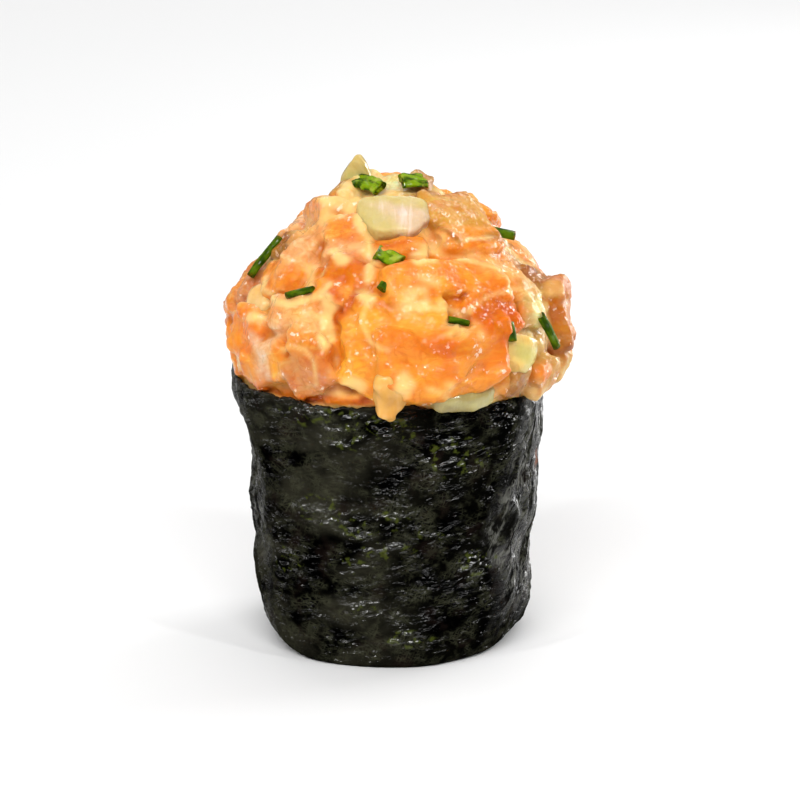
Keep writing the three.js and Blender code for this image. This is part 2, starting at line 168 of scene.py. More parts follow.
# Where the sauce lies thick or the fish is deeper in colour: look, around, up, across, tall and turn.
PATCHES = [
    ("cream", -50, 56.6, 3.1, 3.8, 0),
    ("cream", -17, 54.0, 2.9, 7.2, 0),
    ("cream", -48, 52.9, 2.2, 7.1, -18),
    ("orange", -55, 55.0, 5.6, 3.4, 0),
    ("cream", -17, 50.7, 3.9, 2.1, -8),
    ("peach", -66, 51.9, 4.2, 3.8, 20),
    ("cream", -31, 48.4, 1.7, 4.9, -30),
    ("cream", -48, 46.0, 8.2, 2.2, -8),
    ("cream", -67, 44.5, 8.9, 4.4, 40),
    ("cream", -40, 41.1, 5.5, 2.7, 0),
    ("cream", -23, 43.8, 3.0, 5.9, 0),
    ("peach", -48, 43.6, 6.3, 3.8, 0),
    ("peach", -33, 44.1, 4.7, 3.6, 0),
    ("lilac", -46, 39.3, 2.1, 7.6, -20),
    ("yolk", -41, 38.4, 2.6, 5.6, -14),
    ("rose", -31, 38.2, 4.9, 4.9, 0),
    ("cream", -14, 36.6, 5.1, 3.3, -10),
    ("brown", -14, 35.4, 2.6, 1.0, -10),
    ("cream", -21, 38.9, 1.9, 3.8, 20),
    ("yolk", -4, 44.4, 7.5, 5.2, 0),
    ("orange", -2, 41.7, 5.0, 5.0, 0),
    ("deep", -6, 45.7, 3.2, 1.6, 0),
    ("cream", 10, 45.6, 6.8, 3.7, -5),
    ("cream", 3, 37.0, 3.2, 4.3, -20),
    ("cream", 16, 52.7, 4.4, 3.5, 30),
    ("cream", 18, 51.2, 3.9, 3.1, 0),
    ("cream", 36, 49.9, 5.2, 2.4, -12),
    ("deep", 9, 50.8, 2.3, 1.8, 0),
    ("peach", 46, 48.3, 5.7, 3.1, -20),
    ("cream", 57, 45.0, 5.4, 3.4, 0),
    ("lime", 59, 42.0, 4.3, 5.0, -20),
    ("cream", 27, 42.4, 7.8, 3.3, -12),
    ("cream", 36, 34.9, 9.2, 1.0, 10),
    ("tan", 57, 36.5, 8.3, 4.6, 0),
    ("orange", 25, 46.5, 4.1, 3.3, 0),
    ("deep", 17, 40.9, 6.5, 1.7, 0),
    ("deep", -19, 48.9, 2.9, 2.3, 0),
    ("deep", -24, 46.5, 3.5, 1.6, 0),
    ("rust", 80, 41.4, 6.0, 9.0, 0),
    ("brown", 78, 37.6, 4.0, 3.0, 20),
    ("orange", 98, 48.2, 7.0, 4.4, 14),
    ("coral", 102, 40.6, 5.6, 5.0, -8),
    ("yolk", 92, 53.4, 5.0, 3.6, 20),
    ("peach", 100, 36.4, 6.0, 3.0, 0),
    ("deep", 112, 44.6, 4.4, 3.0, 30),
    ("pink", 72, 49.2, 4.0, 2.6, -20),
    ("lime", 0, 58.2, 8.0, 3.4, 0),
    ("lime", 180, 58.4, 9.0, 4.0, 0),
    ("amber", 56, 54.6, 8.0, 4.4, -20),
    ("lime", -60, 57.4, 4.0, 2.4, 0),
    ("cream", -58, 48.6, 5.0, 2.0, 10),
    ("cream", -24, 49.8, 4.6, 2.6, -10),
    ("cream", -34, 42.6, 5.0, 1.8, 0),
    ("cream", -56, 42.4, 4.6, 1.8, 20),
    ("cream", -62, 37.8, 3.0, 3.4, 0),
    ("peach", -52, 51.8, 4.4, 2.8, 0),
    ("cream", 16, 50.6, 3.2, 1.8, 0),
    ("orange", 56, 36.0, 4.0, 2.0, 0),
    ("brown", 52, 56.0, 3.4, 2.2, 0),
    ("brown", 60, 50.6, 6.0, 1.6, -14),
]
LEFT_RIM = [(-92, 34.4), (-68, 34.3), (-55, 34.0), (-44, 33.9), (-33, 33.9), (-21, 34.0), (-10, 34.1)]
RIGHT_RIM = [(10, 36.6), (14, 35.9), (17, 35.0), (22, 34.5), (26, 34.0), (31, 34.6), (38, 35.0), (43, 35.7)]
# Thin lines on the heap: look, width and the places that each passes through.
STROKES = [
    ("deep", 6.0, [(37, 43.8), (41, 43.4)]),
    ("cream", 1.4, [(-74, 57.0), (-58, 56.2), (-46, 55.4), (-39, 54.4)]),
    ("cream", 1.5, [(11, 50.5), (20, 51.0)]),
    ("cream", 1.3, [(-31, 50.8), (-22, 50.2)]),
    ("cream", 0.5, [(26, 44.6), (28, 45.3), (33, 46.0), (40, 46.5), (47, 46.6), (53, 46.1), (54, 45.3)]),
    ("cream", 1.7, [(-25, 46.2), (-24.5, 43.8), (-22.5, 41.4)]),
    ("cream", 1.5, [(-12.5, 46.7), (-7.5, 46.3)]),
    ("slit", 1.2, [(-20.5, 43.7), (-17, 45.1), (-14, 46.3)]),
    ("deep", 0.7, [(16, 40.5), (22, 40.3), (29, 40.1)]),
    ("deep", 1.0, LEFT_RIM),
    ("brown", 0.7, [(26, 53.6), (31, 52.8), (36, 51.8)]),
    ("brown", 0.9, [(46, 36.0), (44, 35.0), (43, 33.8)]),
    ("lilac", 1.0, [(-54, 40.6), (-48, 38.6), (-45, 35.8)]),
    ("cream", 0.9, [(-61, 45.6), (-49, 44.9), (-39, 44.9), (-29, 46.2), (-25, 47.6)]),
    ("cream", 0.5, [(13, 50.4), (25, 50.5), (37, 49.7), (47, 48.5)]),
    ("cream", 0.6, [(3, 46.2), (10, 45.5), (19, 45.3), (25, 44.2)]),
    ("cream", 0.5, [(27, 51.6), (40, 51.9), (57, 51.6)]),
    ("deep", 0.7, [(-9, 51.8), (0, 51.8), (8, 52.1)]),
    ("cream", 0.5, [(-39, 39.5), (-35, 40.4), (-29, 40.3), (-25, 39.0), (-25, 36.2)]),
    ("cream", 1.0, [(-32, 56.2), (-23, 54.0), (-14, 52.2), (-10, 50.0), (-10, 48.2)]),
    ("cream", 0.6, [(-8, 46.4), (-10, 44.2), (-7, 41.9), (-1, 41.2)]),
    ("cream", 0.6, [(78, 45.4), (67, 43.9), (62, 41.6)]),
    ("cream", 0.5, RIGHT_RIM),
]


def linear(colour, alpha=1.0):
    """An 0 to 255 screen colour as the linear values that shaders use."""
    share = np.asarray(colour, float) / 255
    low, high = share / 12.92, ((share + 0.055) / 1.055) ** 2.4
    return (*np.where(share <= 0.04045, low, high).tolist(), alpha)


# ---- shape functions, as in the solids
def smoothstep(low, high, x):
    share = np.clip((x - low) / (high - low), 0, 1)
    return share * share * (3 - 2 * share)


def between(low, high, share):
    return low + (high - low) * share


def draw(number):
    """A repeatable draw from 0 to 1 for a whole number."""
    wave = math.sin(number * 12.9898 + 4.1414) * 43758.5453
    return wave - math.floor(wave)


def draws(number, first, step, count):
    """Several draws for one thing, counted on from first in steps."""
    return [draw(number + first + step * turn) for turn in range(count)]


def plan_radius(around, half_width, half_depth, power):
    across = np.abs(np.sin(around)) / half_width
    along = np.abs(np.cos(around)) / half_depth
    return (across**power + along**power) ** (-1 / power)


def folds(around, z):
    upright = 0.16 * np.sin(9 * around + 0.12 * z + 0.6) * np.abs(np.sin(around))
    slanted = 0.14 * np.sin(5 * around - 0.34 * z + 2.1)
    return upright + slanted + 0.1 * np.sin(3 * around + 0.62 * z)


def rim_height(around):
    nicks = 0.16 * np.sin(7 * around + 0.8) + 0.1 * np.sin(19 * around)
    return BAND_HEIGHT - BAND_RIM_SLOPE * np.sin(around) + nicks


def band_radius(around, z):
    side = np.sin(around)
    right = smoothstep(-0.6, 0.6, side)
    tuck = between(TUCK_FRONT, between(TUCK_LEFT, TUCK_RIGHT, right), side * side)
    low = np.clip(1 - z / between(TUCK_LEFT_HEIGHT, TUCK_RIGHT_HEIGHT, right), 0, 1)
    flare = between(FLARE_FRONT, np.where(side < 0, FLARE_LEFT, FLARE_RIGHT), side * side)
    flare_from = between(FLARE_LEFT_FROM, FLARE_RIGHT_FROM, right)
    foot_power = between(FOOT_POWER_LEFT, FOOT_POWER_RIGHT, right)
    power = between(foot_power, BAND_CORNER_POWER, smoothstep(0, BAND_FOOT_HEIGHT, z))
    return (
        plan_radius(around, BAND_HALF_WIDTH, BAND_HALF_DEPTH, power)
        - tuck * (1 - np.sqrt(1 - low * low))
        + flare * smoothstep(flare_from, BAND_HEIGHT, z)
        + BELLY * np.exp(-(((z - BELLY_HEIGHT) / BELLY_SPREAD) ** 2))
        + folds(around, z)
    )


def lap_share(around):
    degrees = np.degrees(around) % 360
    ramp = smoothstep(LAP_START, LAP_START + LAP_RAMP, degrees)
    return np.where((degrees < LAP_START) | (degrees > LAP_END), 0, ramp)


def heap_radius(around, z):
    above = np.clip((z - HEAP_WIDEST) / (HEAP_TOP - HEAP_WIDEST), 0, 1)
    below = np.maximum(0, HEAP_WIDEST - z) / HEAP_NECK_HEIGHT
    leftwards = np.maximum(0, -np.sin(around))
    power = between(SHOULDER_POWER, LEFT_SHOULDER_POWER, leftwards * leftwards)
    ring = HEAP_RADIUS * (1 - above**power) - HEAP_NECK_DRAW_IN * below * below
    plan = 1 / np.hypot(np.sin(around), np.cos(around) / HEAP_DEPTH_SHARE)
    return np.maximum(0, ring * plan + HEAP_LEAN_RIGHT * np.sin(around) * (1 - above))


def heap_lumps(around, z):
    broad = np.sin(4 * around + 0.3 * z + 1.3) + np.sin(6 * around - 0.45 * z)
    return HEAP_LUMP * broad * (1 - smoothstep(HEAP_WIDEST + 12, HEAP_TOP, z))


def on_heap(item):
    """The turn and place that set a piece on the heap: x runs around, y up and z outwards."""
    angle, front = math.radians(item["around"]), math.radians(item.get("facing", item["around"]))
    step = 0.5
    height = min(item["up"], HEAP_TOP - step)
    lower, upper = heap_radius(angle, height - step), heap_radius(angle, height + step)
    rise = math.atan(float(lower - upper) / (2 * step)) - math.radians(item.get("lift", 0))
    outwards = Vector((math.sin(front), -math.cos(front), math.tan(rise))).normalized()
    along = Vector((math.cos(front), math.sin(front), 0))
    radius = float(heap_radius(angle, item["up"]))
    spot = Vector((radius * math.sin(angle), -radius * math.cos(angle), item["up"]))
    spot += outwards * (item["proud"] - item["size"][2] / 2)
    turned = Matrix((along, outwards.cross(along), outwards)).transposed().to_4x4()
    return Matrix.Translation(spot + AXIS) @ turned @ Matrix.Rotation(math.radians(item["turn"]), 4, "Z")


def back_pieces():
    pieces = []
    for ring_up, count in BACK_RINGS:
        for place in range(count):
            shift, rise, length, height, turn, out = draws(len(pieces), 0, 40, 6)
            around = between(BACK_FROM, BACK_TO, (place + 0.5 + 0.5 * (shift - 0.5)) / count)
            up = ring_up + BACK_WANDER * (2 * rise - 1)
            across = between(*BACK_LONG, length) * (BACK_TOP_SHARE if ring_up > BACK_TOP_FROM else 1)
            size = (across, between(*BACK_TALL, height), BACK_DEEP)
            look = BACK_LOOKS[len(pieces) % len(BACK_LOOKS)]
            pieces.append(piece(around, up, size, 60 * (turn - 0.5), between(*BACK_PROUD, out), look))
    return pieces


# ---- mesh helpers
def object_of(name, mesh):
    made = bpy.data.objects.new(name, mesh)
    bpy.context.scene.collection.objects.link(made)
    return made


def mesh_of(name, bm):
    mesh = bpy.data.meshes.new(name)
    bm.to_mesh(mesh)
    bm.free()
    return mesh


def read(items, key, width, kind):
    flat = np.empty(len(items) * width, kind)
    items.foreach_get(key, flat)
    return flat.reshape(-1, width)


def places(mesh):
    return read(mesh.vertices, "co", 3, np.float32).astype(float)


def normals(mesh):
    return read(mesh.vertices, "normal", 3, np.float32).astype(float)


def edges_of(mesh):
    return read(mesh.edges, "vertices", 2, np.int32)


def set_places(mesh, points):
    mesh.vertices.foreach_set("co", points.astype(np.float32).ravel())
    mesh.update()


def paint(mesh, name, kind, values):
    key = {"FLOAT": "value", "FLOAT_VECTOR": "vector", "FLOAT_COLOR": "color"}[kind]
    layer = mesh.attributes.new(name, kind, "POINT")
    layer.data.foreach_set(key, np.ascontiguousarray(values, np.float32).ravel())


def finish_piece(name, mesh, material, slot, *nodes):
    """Scales a mesh to metres and makes it a piece that rides on the body and stands for the nodes."""
    mesh.transform(Matrix.Scale(MM, 4))
    mesh.polygons.foreach_set("use_smooth", np.ones(len(mesh.polygons), bool))
    mesh.materials.clear()
    mesh.materials.append(material)
    made = object_of(name, mesh)
    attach(made, BODY)
    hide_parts(*nodes)


def modified(mesh, *modifiers):
    """The mesh after a stack of modifiers, each given as its type and its settings."""
    holder = object_of("holder", mesh)
    for kind, settings in modifiers:
        modifier = holder.modifiers.new(kind, kind)
        for key, value in settings.items():
            setattr(modifier, key, value)
    bpy.context.view_layer.update()
    result = bpy.data.meshes.new_from_object(holder.evaluated_get(bpy.context.evaluated_depsgraph_get()))
    bpy.data.objects.remove(holder)
    return result


def wobble(point, size, seed):
    """A smooth random vector that changes over about size."""
    return noise.noise_vector(point / size + Vector((seed * 7.3, seed * 3.1, seed * 5.7)))


def noise_at(points, size, shift=(0, 0, 0), kind=noise.noise):
    """Smooth noise at each point that changes over about size."""
    return np.array([kind(Vector(point) / size + Vector(shift)) for point in points])


def rounded_block(size, power, cuts, taper=0.0):
    """A block with rounded edges, as wide as size says, narrowed towards one end by its taper."""
    bm = bmesh.new()
    bmesh.ops.create_cube(bm, size=2)
    bmesh.ops.subdivide_edges(bm, edges=bm.edges[:], cuts=cuts, use_grid_fill=True)
    for vertex in bm.verts:
        total = sum(abs(value) ** power for value in vertex.co)
        vertex.co /= total ** (1 / power)
        if taper:
            vertex.co.x *= min(1, 1 - taper * vertex.co.y)
        vertex.co = Vector(value * whole / 2 for value, whole in zip(vertex.co, size))
    return bm


def blurred(values, edges, rounds=1):
    """Rows of numbers of the vertices, each replaced by the mean of its neighbours' so many times."""
    counts = np.maximum(1, np.bincount(edges.ravel(), minlength=len(values)))
    for turn in range(rounds):
        total = np.empty_like(values)
        for column, numbers in enumerate(values.T):
            total[:, column] = np.bincount(edges[:, 0], numbers[edges[:, 1]], len(values))
            total[:, column] += np.bincount(edges[:, 1], numbers[edges[:, 0]], len(values))
        values = total / counts[:, None]
    return values


def relax(mesh, rounds, share=0.5, only_outwards=False):
    """Smooths a mesh. With only_outwards hollows fill up and nothing that stands out is worn down."""
    edges, points, facing = edges_of(mesh), places(mesh), normals(mesh)
    for turn in range(rounds):
        pull = blurred(points, edges) - points
        if only_outwards:
            pull = facing * np.maximum(0, (pull * facing).sum(1))[:, None]
        points += share * pull
    set_places(mesh, points)


# ---- shader helpers
class Shader:
    """A material's node tree, with short ways to add and join nodes."""

    def __init__(self, name):
        self.material = bpy.data.materials.new(name)
        self.material.use_nodes = True
        self.tree = self.material.node_tree
        self.tree.nodes.clear()
        self.surface = self.add("ShaderNodeBsdfPrincipled")
        output = self.add("ShaderNodeOutputMaterial")
        self.join(self.surface.outputs["BSDF"], output.inputs["Surface"])

    def add(self, kind, **settings):
        node = self.tree.nodes.new(kind)
        for key, value in settings.items():
            setattr(node, key, value)
        return node

    def join(self, source, target):
        self.tree.links.new(source, target)

    def feed(self, target, value):
        """Sets a socket to a number or colour, or joins another socket to it."""
        if isinstance(value, bpy.types.NodeSocket):
            self.join(value, target)
        else:
            target.default_value = value

    def set(self, **values):
        for key, value in values.items():
            self.feed(self.surface.inputs[key.replace("_", " ")], value)

    def place(self):
        return self.add("ShaderNodeTexCoord").outputs["Object"]

    def attribute(self, name, output="Fac"):
        return self.add("ShaderNodeAttribute", attribute_name=name).outputs[output]

    def mapped(self, vector, scale, turn=(0, 0, 0)):
        node = self.add("ShaderNodeMapping")
        self.join(vector, node.inputs["Vector"])
        node.inputs["Scale"].default_value = scale
        node.inputs["Rotation"].default_value = [math.radians(angle) for angle in turn]
        return node.outputs["Vector"]

    def stretched(self, vector, length, width, turn=0.0, rise=0.0):
        """Coordinates that draw a pattern out to a length along turn and to a width across it."""
        node = self.add("ShaderNodeMapping", vector_type="TEXTURE")
        self.join(vector, node.inputs["Vector"])
        node.inputs["Location"].default_value = (0, rise, 0)
        node.inputs["Scale"].default_value = (length, width, 1)
        node.inputs["Rotation"].default_value = (0, 0, math.radians(turn))
        return node.outputs["Vector"]

    def drawn_out(self, vector, size, turn, *settings):
        """Noise that is drawn out to a length along turn and to a width across it."""
        return self.noise(self.stretched(vector, *size, turn), 1.0, *settings)

    def noise(self, vector, scale, detail=3.0, roughness=0.5, distortion=0.0):
        node = self.add("ShaderNodeTexNoise")
        self.join(vector, node.inputs["Vector"])
        keys = ("Scale", "Detail", "Roughness", "Distortion")
        for key, value in zip(keys, (scale, detail, roughness, distortion)):
            node.inputs[key].default_value = value
        return node.outputs["Fac"]

    def cells(self, vector, scale):
        node = self.add("ShaderNodeTexVoronoi")
        self.join(vector, node.inputs["Vector"])
        node.inputs["Scale"].default_value = scale
        return node.outputs["Distance"]

    def math(self, operation, first, second=0.0, clamp=False):
        node = self.add("ShaderNodeMath", operation=operation, use_clamp=clamp)
        self.feed(node.inputs[0], first)
        self.feed(node.inputs[1], second)
        return node.outputs[0]

    def times(self, first, second):
        return self.math("MULTIPLY", first, second)

    def off_middle(self, value):
        """How far a noise is from its middle value, which it has along thin wavy lines."""
        return self.math("ABSOLUTE", self.math("SUBTRACT", value, 0.5))

    def lines(self, vector, sharpness):
        """Thin wavy lines, 1 along their middles."""
        off = self.off_middle(self.noise(vector, 1.0, 2, 0.5, 0.6))
        return self.math("SUBTRACT", 1.0, self.times(off, sharpness), clamp=True)

    def ranged(self, value, low, high, to_low=0.0, to_high=1.0):
        node = self.add("ShaderNodeMapRange", interpolation_type="SMOOTHSTEP")
        self.join(value, node.inputs["Value"])
        for key, number in zip(("From Min", "From Max", "To Min", "To Max"), (low, high, to_low, to_high)):
            node.inputs[key].default_value = number
        return node.outputs["Result"]

    def mix(self, share, first, second, blend="MIX"):
        node = self.add("ShaderNodeMix", data_type="RGBA", blend_type=blend)
        for socket, value in ((0, share), (6, first), (7, second)):
            self.feed(node.inputs[socket], value)
        return node.outputs[2]

    def level(self, share, first, second):
        """Like mix, for plain numbers."""
        node = self.add("ShaderNodeMix", data_type="FLOAT")
        for socket, value in ((0, share), (2, first), (3, second)):
            self.feed(node.inputs[socket], value)
        return node.outputs[0]

    def bump(self, height, distance, strength=1.0, normal=None):
        node = self.add("ShaderNodeBump")
        self.join(height, node.inputs["Height"])
        node.inputs["Distance"].default_value = distance
        self.feed(node.inputs["Strength"], strength)
        if normal is not None:
            self.join(normal, node.inputs["Normal"])
        return node.outputs["Normal"]


# ---- salmon heap
VOXEL = 0.29
SAUCE_LEVEL, SAUCE_UNEVEN = 0.85, 0.35
SAUCE_ROUNDS = 4
PIECE_POWER = 6
# How far a piece of fish bends, is warped over its length and is uneven in its surface.
FLESH_BEND, FLESH_WARP, FLESH_UNEVEN = 0.06, 0.07, 0.16
# How far colours stray over a piece's border, how softly they blend there, and how pieces differ in shade.
STRAY, BLEND, UNEVEN_SHADE = 0.45, 0.22, 0.14
# Torn fish has facets with smaller ones on them: the size of each kind and how far it stands out.
FACET_SIZE, FACET_HEIGHT = 3.1, 0.5
SMALL_FACET_SIZE, SMALL_FACET_HEIGHT = 1.4, 0.16
# How dark the painted shade in creases and recesses is in red, green and blue, and how many rounds of
# smoothing a recess spans.
CREASE_SHADE, RECESS_SHADE = np.array([0.16, 0.4, 0.75]), np.array([0.24, 0.46, 0.78])
RECESS_ROUNDS = 24


def core_mesh():
    """The body of the heap: it fills the band above the rice and swells out over the rim."""
    bm = bmesh.new()
    bmesh.ops.create_uvsphere(bm, u_segments=120, v_segments=80, radius=1)
    for vertex in bm.verts:
        around = math.atan2(vertex.co.x, -vertex.co.y)
        z = between(HEAP_FOOT, HEAP_TOP - HEAP_COVER, (vertex.co.z + 1) / 2)
        share = min(1, math.hypot(vertex.co.x, vertex.co.y) * 1.8)
        level = SAUCE_LEVEL + SAUCE_UNEVEN * noise.noise(vertex.co * 6)
        open_radius = heap_radius(around, z) + heap_lumps(around, z) - level
        held = band_radius(around, z) - BAND_WALL - CLEARANCE
        rim = smoothstep(rim_height(around) - 0.8, rim_height(around) + 1, z)
        radius = share * between(min(held, open_radius + HEAP_COVER), open_radius, rim)
        vertex.co = Vector((radius * math.sin(around), -radius * math.cos(around), z)) + AXIS
    return bm


def flesh_mesh(item, number):
    """One cut piece of fish: a rounded block, a little bent and uneven."""
    longest = max(item["size"])
    bm = rounded_block(item["size"], power=item.get("power", PIECE_POWER), cuts=9)
    bend = FLESH_BEND * (draw(number + 300) - 0.5)
    for vertex in bm.verts:
        start = vertex.co.copy()
        vertex.co += wobble(start, 0.4 * longest, number) * FLESH_WARP * longest
        vertex.co += wobble(start, 1.7, number + 50) * FLESH_UNEVEN
        vertex.co.y += bend * start.x**2
    bmesh.ops.transform(bm, matrix=on_heap(item), verts=bm.verts[:])
    return bm


def torn(point):
    """How far chopped fish stands out of its smooth form: small tilted facets with ridges on them."""
    bent = point + noise.noise_vector(point / 2.4) * 0.9
    centre = noise.voronoi(bent / FACET_SIZE)[1][0] * FACET_SIZE
    rise = 0.34 * (bent - centre).dot(noise.noise_vector(centre * 3.7)) + 0.3 * noise.noise(centre * 5.3)
    facet = max(-FACET_HEIGHT, min(FACET_HEIGHT, rise))
    centre = noise.voronoi(bent / SMALL_FACET_SIZE)[1][0] * SMALL_FACET_SIZE
    rise = 0.3 * (bent - centre).dot(noise.noise_vector(centre * 5.1))
    facet += max(-SMALL_FACET_HEIGHT, min(SMALL_FACET_HEIGHT, rise))
    ridge = 1 - abs(noise.noise(Vector((point.x, point.y, point.z * 1.6)) / 1.5)) * 3
    return facet + 0.1 * max(0, ridge) + 0.06 * noise.noise(point / 0.9)


def nearest_pieces(points, pieces):
    """For each point: how far it is outside the nearest piece, and how far inside that piece's border."""
    nearest, border = np.full(len(points), np.inf), np.full(len(points), np.inf)
    for item in pieces:
        local = own_axes(points, item)
        away = distance_to_piece(local, item["size"])
        half = np.array(item["size"][:2]) / 2
        inner = (1 - np.abs(local[:, :2] / half).max(1)) * half.min()
        border = np.where(away < nearest, inner, border)
        nearest = np.minimum(away, nearest)
    return nearest, border


def heap_mesh(pieces):
    whole = core_mesh()
    for number, item in enumerate(pieces):
        part = mesh_of("part", flesh_mesh(item, number))
        whole.from_mesh(part)
        bpy.data.meshes.remove(part)
    remesh = ("REMESH", {"mode": "VOXEL", "voxel_size": VOXEL})
    mesh = modified(mesh_of("salmon", whole), remesh)
    relax(mesh, 1)
    points, facing = places(mesh), normals(mesh)
    open_air = smoothstep(BAND_HEIGHT - 0.6, BAND_HEIGHT + 1.2, points[:, 2])
    relief = np.array([torn(Vector(point)) for point in points]) * open_air
    relief *= 1 - 0.5 * smoothstep(0.1, 0.9, nearest_pieces(points, pieces)[1])
    set_places(mesh, points + facing * relief[:, None])
    relax(mesh, 1, 0.3)
    before = places(mesh)
    relax(mesh, SAUCE_ROUNDS, only_outwards=True)
    filled = ((places(mesh) - before) * normals(mesh)).sum(1)
    colour_heap(mesh, pieces, filled)
    return mesh


def own_axes(points, item):
    """Points in the axes of a piece or patch, from its middle."""
    own = np.array(on_heap(item).inverted())
    return points @ own[:3, :3].T + own[:3, 3]


def distance_to_piece(local, size):
    """About how far points, in a piece's own axes, are outside it."""
    half = np.array(size) / 2
    reach = (np.abs(local / half) ** PIECE_POWER).sum(1) ** (1 / PIECE_POWER)
    return (reach - 1) * half.min()


def on_form(around, up):
    """Places on the heap's smooth form."""
    radius = heap_radius(around, np.minimum(up, HEAP_TOP - 0.1))
    return np.c_[radius * np.sin(around), -radius * np.cos(around), up]


def distance_to_line(points, line):
    """How far points are from a line through the given places, all taken on the smooth form."""
    stops = on_form(np.radians([stop[0] for stop in line]), np.array([stop[1] for stop in line]))
    nearest = np.full(len(points), np.inf)
    for start, end in zip(stops, stops[1:]):
        run = end - start
        share = np.clip(((points - start) @ run) / (run @ run), 0, 1)
        nearest = np.minimum(nearest, np.linalg.norm(points - start - share[:, None] * run, axis=1))
    return nearest


def flesh_colour(look):
    return np.array(linear(FLESH[look])[:3])


def sunk(points, facing, edges, rounds=1):
    """How far each vertex lies below the surface about it, smoothed so many rounds."""
    return ((blurred(points, edges, rounds) - points) * facing).sum(1)


def colour_heap(mesh, pieces, filled):
    """Paints each vertex with its piece's colour, its grain's direction and the sauce on it, and paints shade
    into its creases and recesses.
    """
    points = places(mesh)
    stray = noise_at(points, 1.9, kind=noise.noise_vector)
    stray += 0.5 * noise_at(points, 0.8, kind=noise.noise_vector)
    strayed = points + STRAY * stray
    nearest, border = nearest_pieces(strayed, pieces)
    grain, weight = np.zeros_like(points), np.full(len(points), 1e-6)
    tint = 1e-6 * np.tile(flesh_colour("orange"), (len(points), 1))
    for number, item in enumerate(pieces):
        local = own_axes(strayed, item)
        away = distance_to_piece(local, item["size"])
        closer = away <= nearest
        *offset, shade = draws(number, 400, 100, 4)
        grain[closer] = local[closer] + np.array(offset) * 90
        share = np.exp(-np.maximum(away, -0.9) / BLEND)
        shade = 1 + UNEVEN_SHADE * (shade - 0.5)
        tint += share[:, None] * flesh_colour(item["look"]) * shade
        weight += share
    tint /= weight[:, None]
    broad, fine = noise_at(points, 3.4, (9, 2, 5)), noise_at(points, 1.5, (3, 8, 1))
    film = 0.75 * smoothstep(0.1, 0.9, nearest + 0.3 * broad)
    film += 0.5 * smoothstep(0.05, 0.4, filled + 0.1 * broad)
    rim = np.exp(-(((border - 0.08) / 0.15) ** 2)) * smoothstep(-0.25, 0.3, broad + 0.5 * fine)
    film = np.maximum(film, 0.75 * rim)
    for look, around, up, across, tall, turn in PATCHES:
        local = own_axes(strayed, piece(around, up, (across, tall, 6), turn, 1.5))
        reach = np.hypot(local[:, 0] / (across / 2), local[:, 1] / (tall / 2))
        share = smoothstep(1.6, 0.35, reach) * (np.abs(local[:, 2]) < 4.5)
        if look == "cream":
            film = np.maximum(film, 0.85 * share * smoothstep(-0.55, 0.35, fine + broad))
        else:
            tint = between(tint, flesh_colour(look), 0.85 * share[:, None])
            film = film * (1 - 0.8 * share)
    flat = points + 0.12 * stray - np.array(AXIS)
    flat = on_form(np.arctan2(flat[:, 0], -flat[:, 1]), flat[:, 2])
    for look, width, line in STROKES:
        share = smoothstep(0.75 * width, 0.3 * width, distance_to_line(flat, line))
        if look == "cream":
            film = np.maximum(film, 0.9 * share)
        else:
            tint = between(tint, flesh_colour(look), share[:, None])
            film = film * (1 - share)
    edges, facing = edges_of(mesh), normals(mesh)
    # Painted shade: vertices sunk in creases and recesses are darkened, and recesses lose part of their pale
    # sauce film.
    shaded_crease = smoothstep(0.015, 0.06, sunk(points, facing, edges)) * (1 - 0.7 * film)
    shaded_recess = smoothstep(0.05, 0.4, sunk(points, facing, edges, RECESS_ROUNDS))
    tint = tint * (1 - shaded_crease[:, None] * CREASE_SHADE)
    tint = tint * (1 - shaded_recess[:, None] * RECESS_SHADE)
    film = film * (1 - 0.45 * shaded_recess * smoothstep(-0.2, 0.3, fine - broad))
    paint(mesh, "tint", "FLOAT_COLOR", np.c_[blurred(tint, edges, 2), np.ones(len(points))])
    paint(mesh, "sauce", "FLOAT", blurred(film[:, None], edges, 3))
    paint(mesh, "grain", "FLOAT_VECTOR", grain)


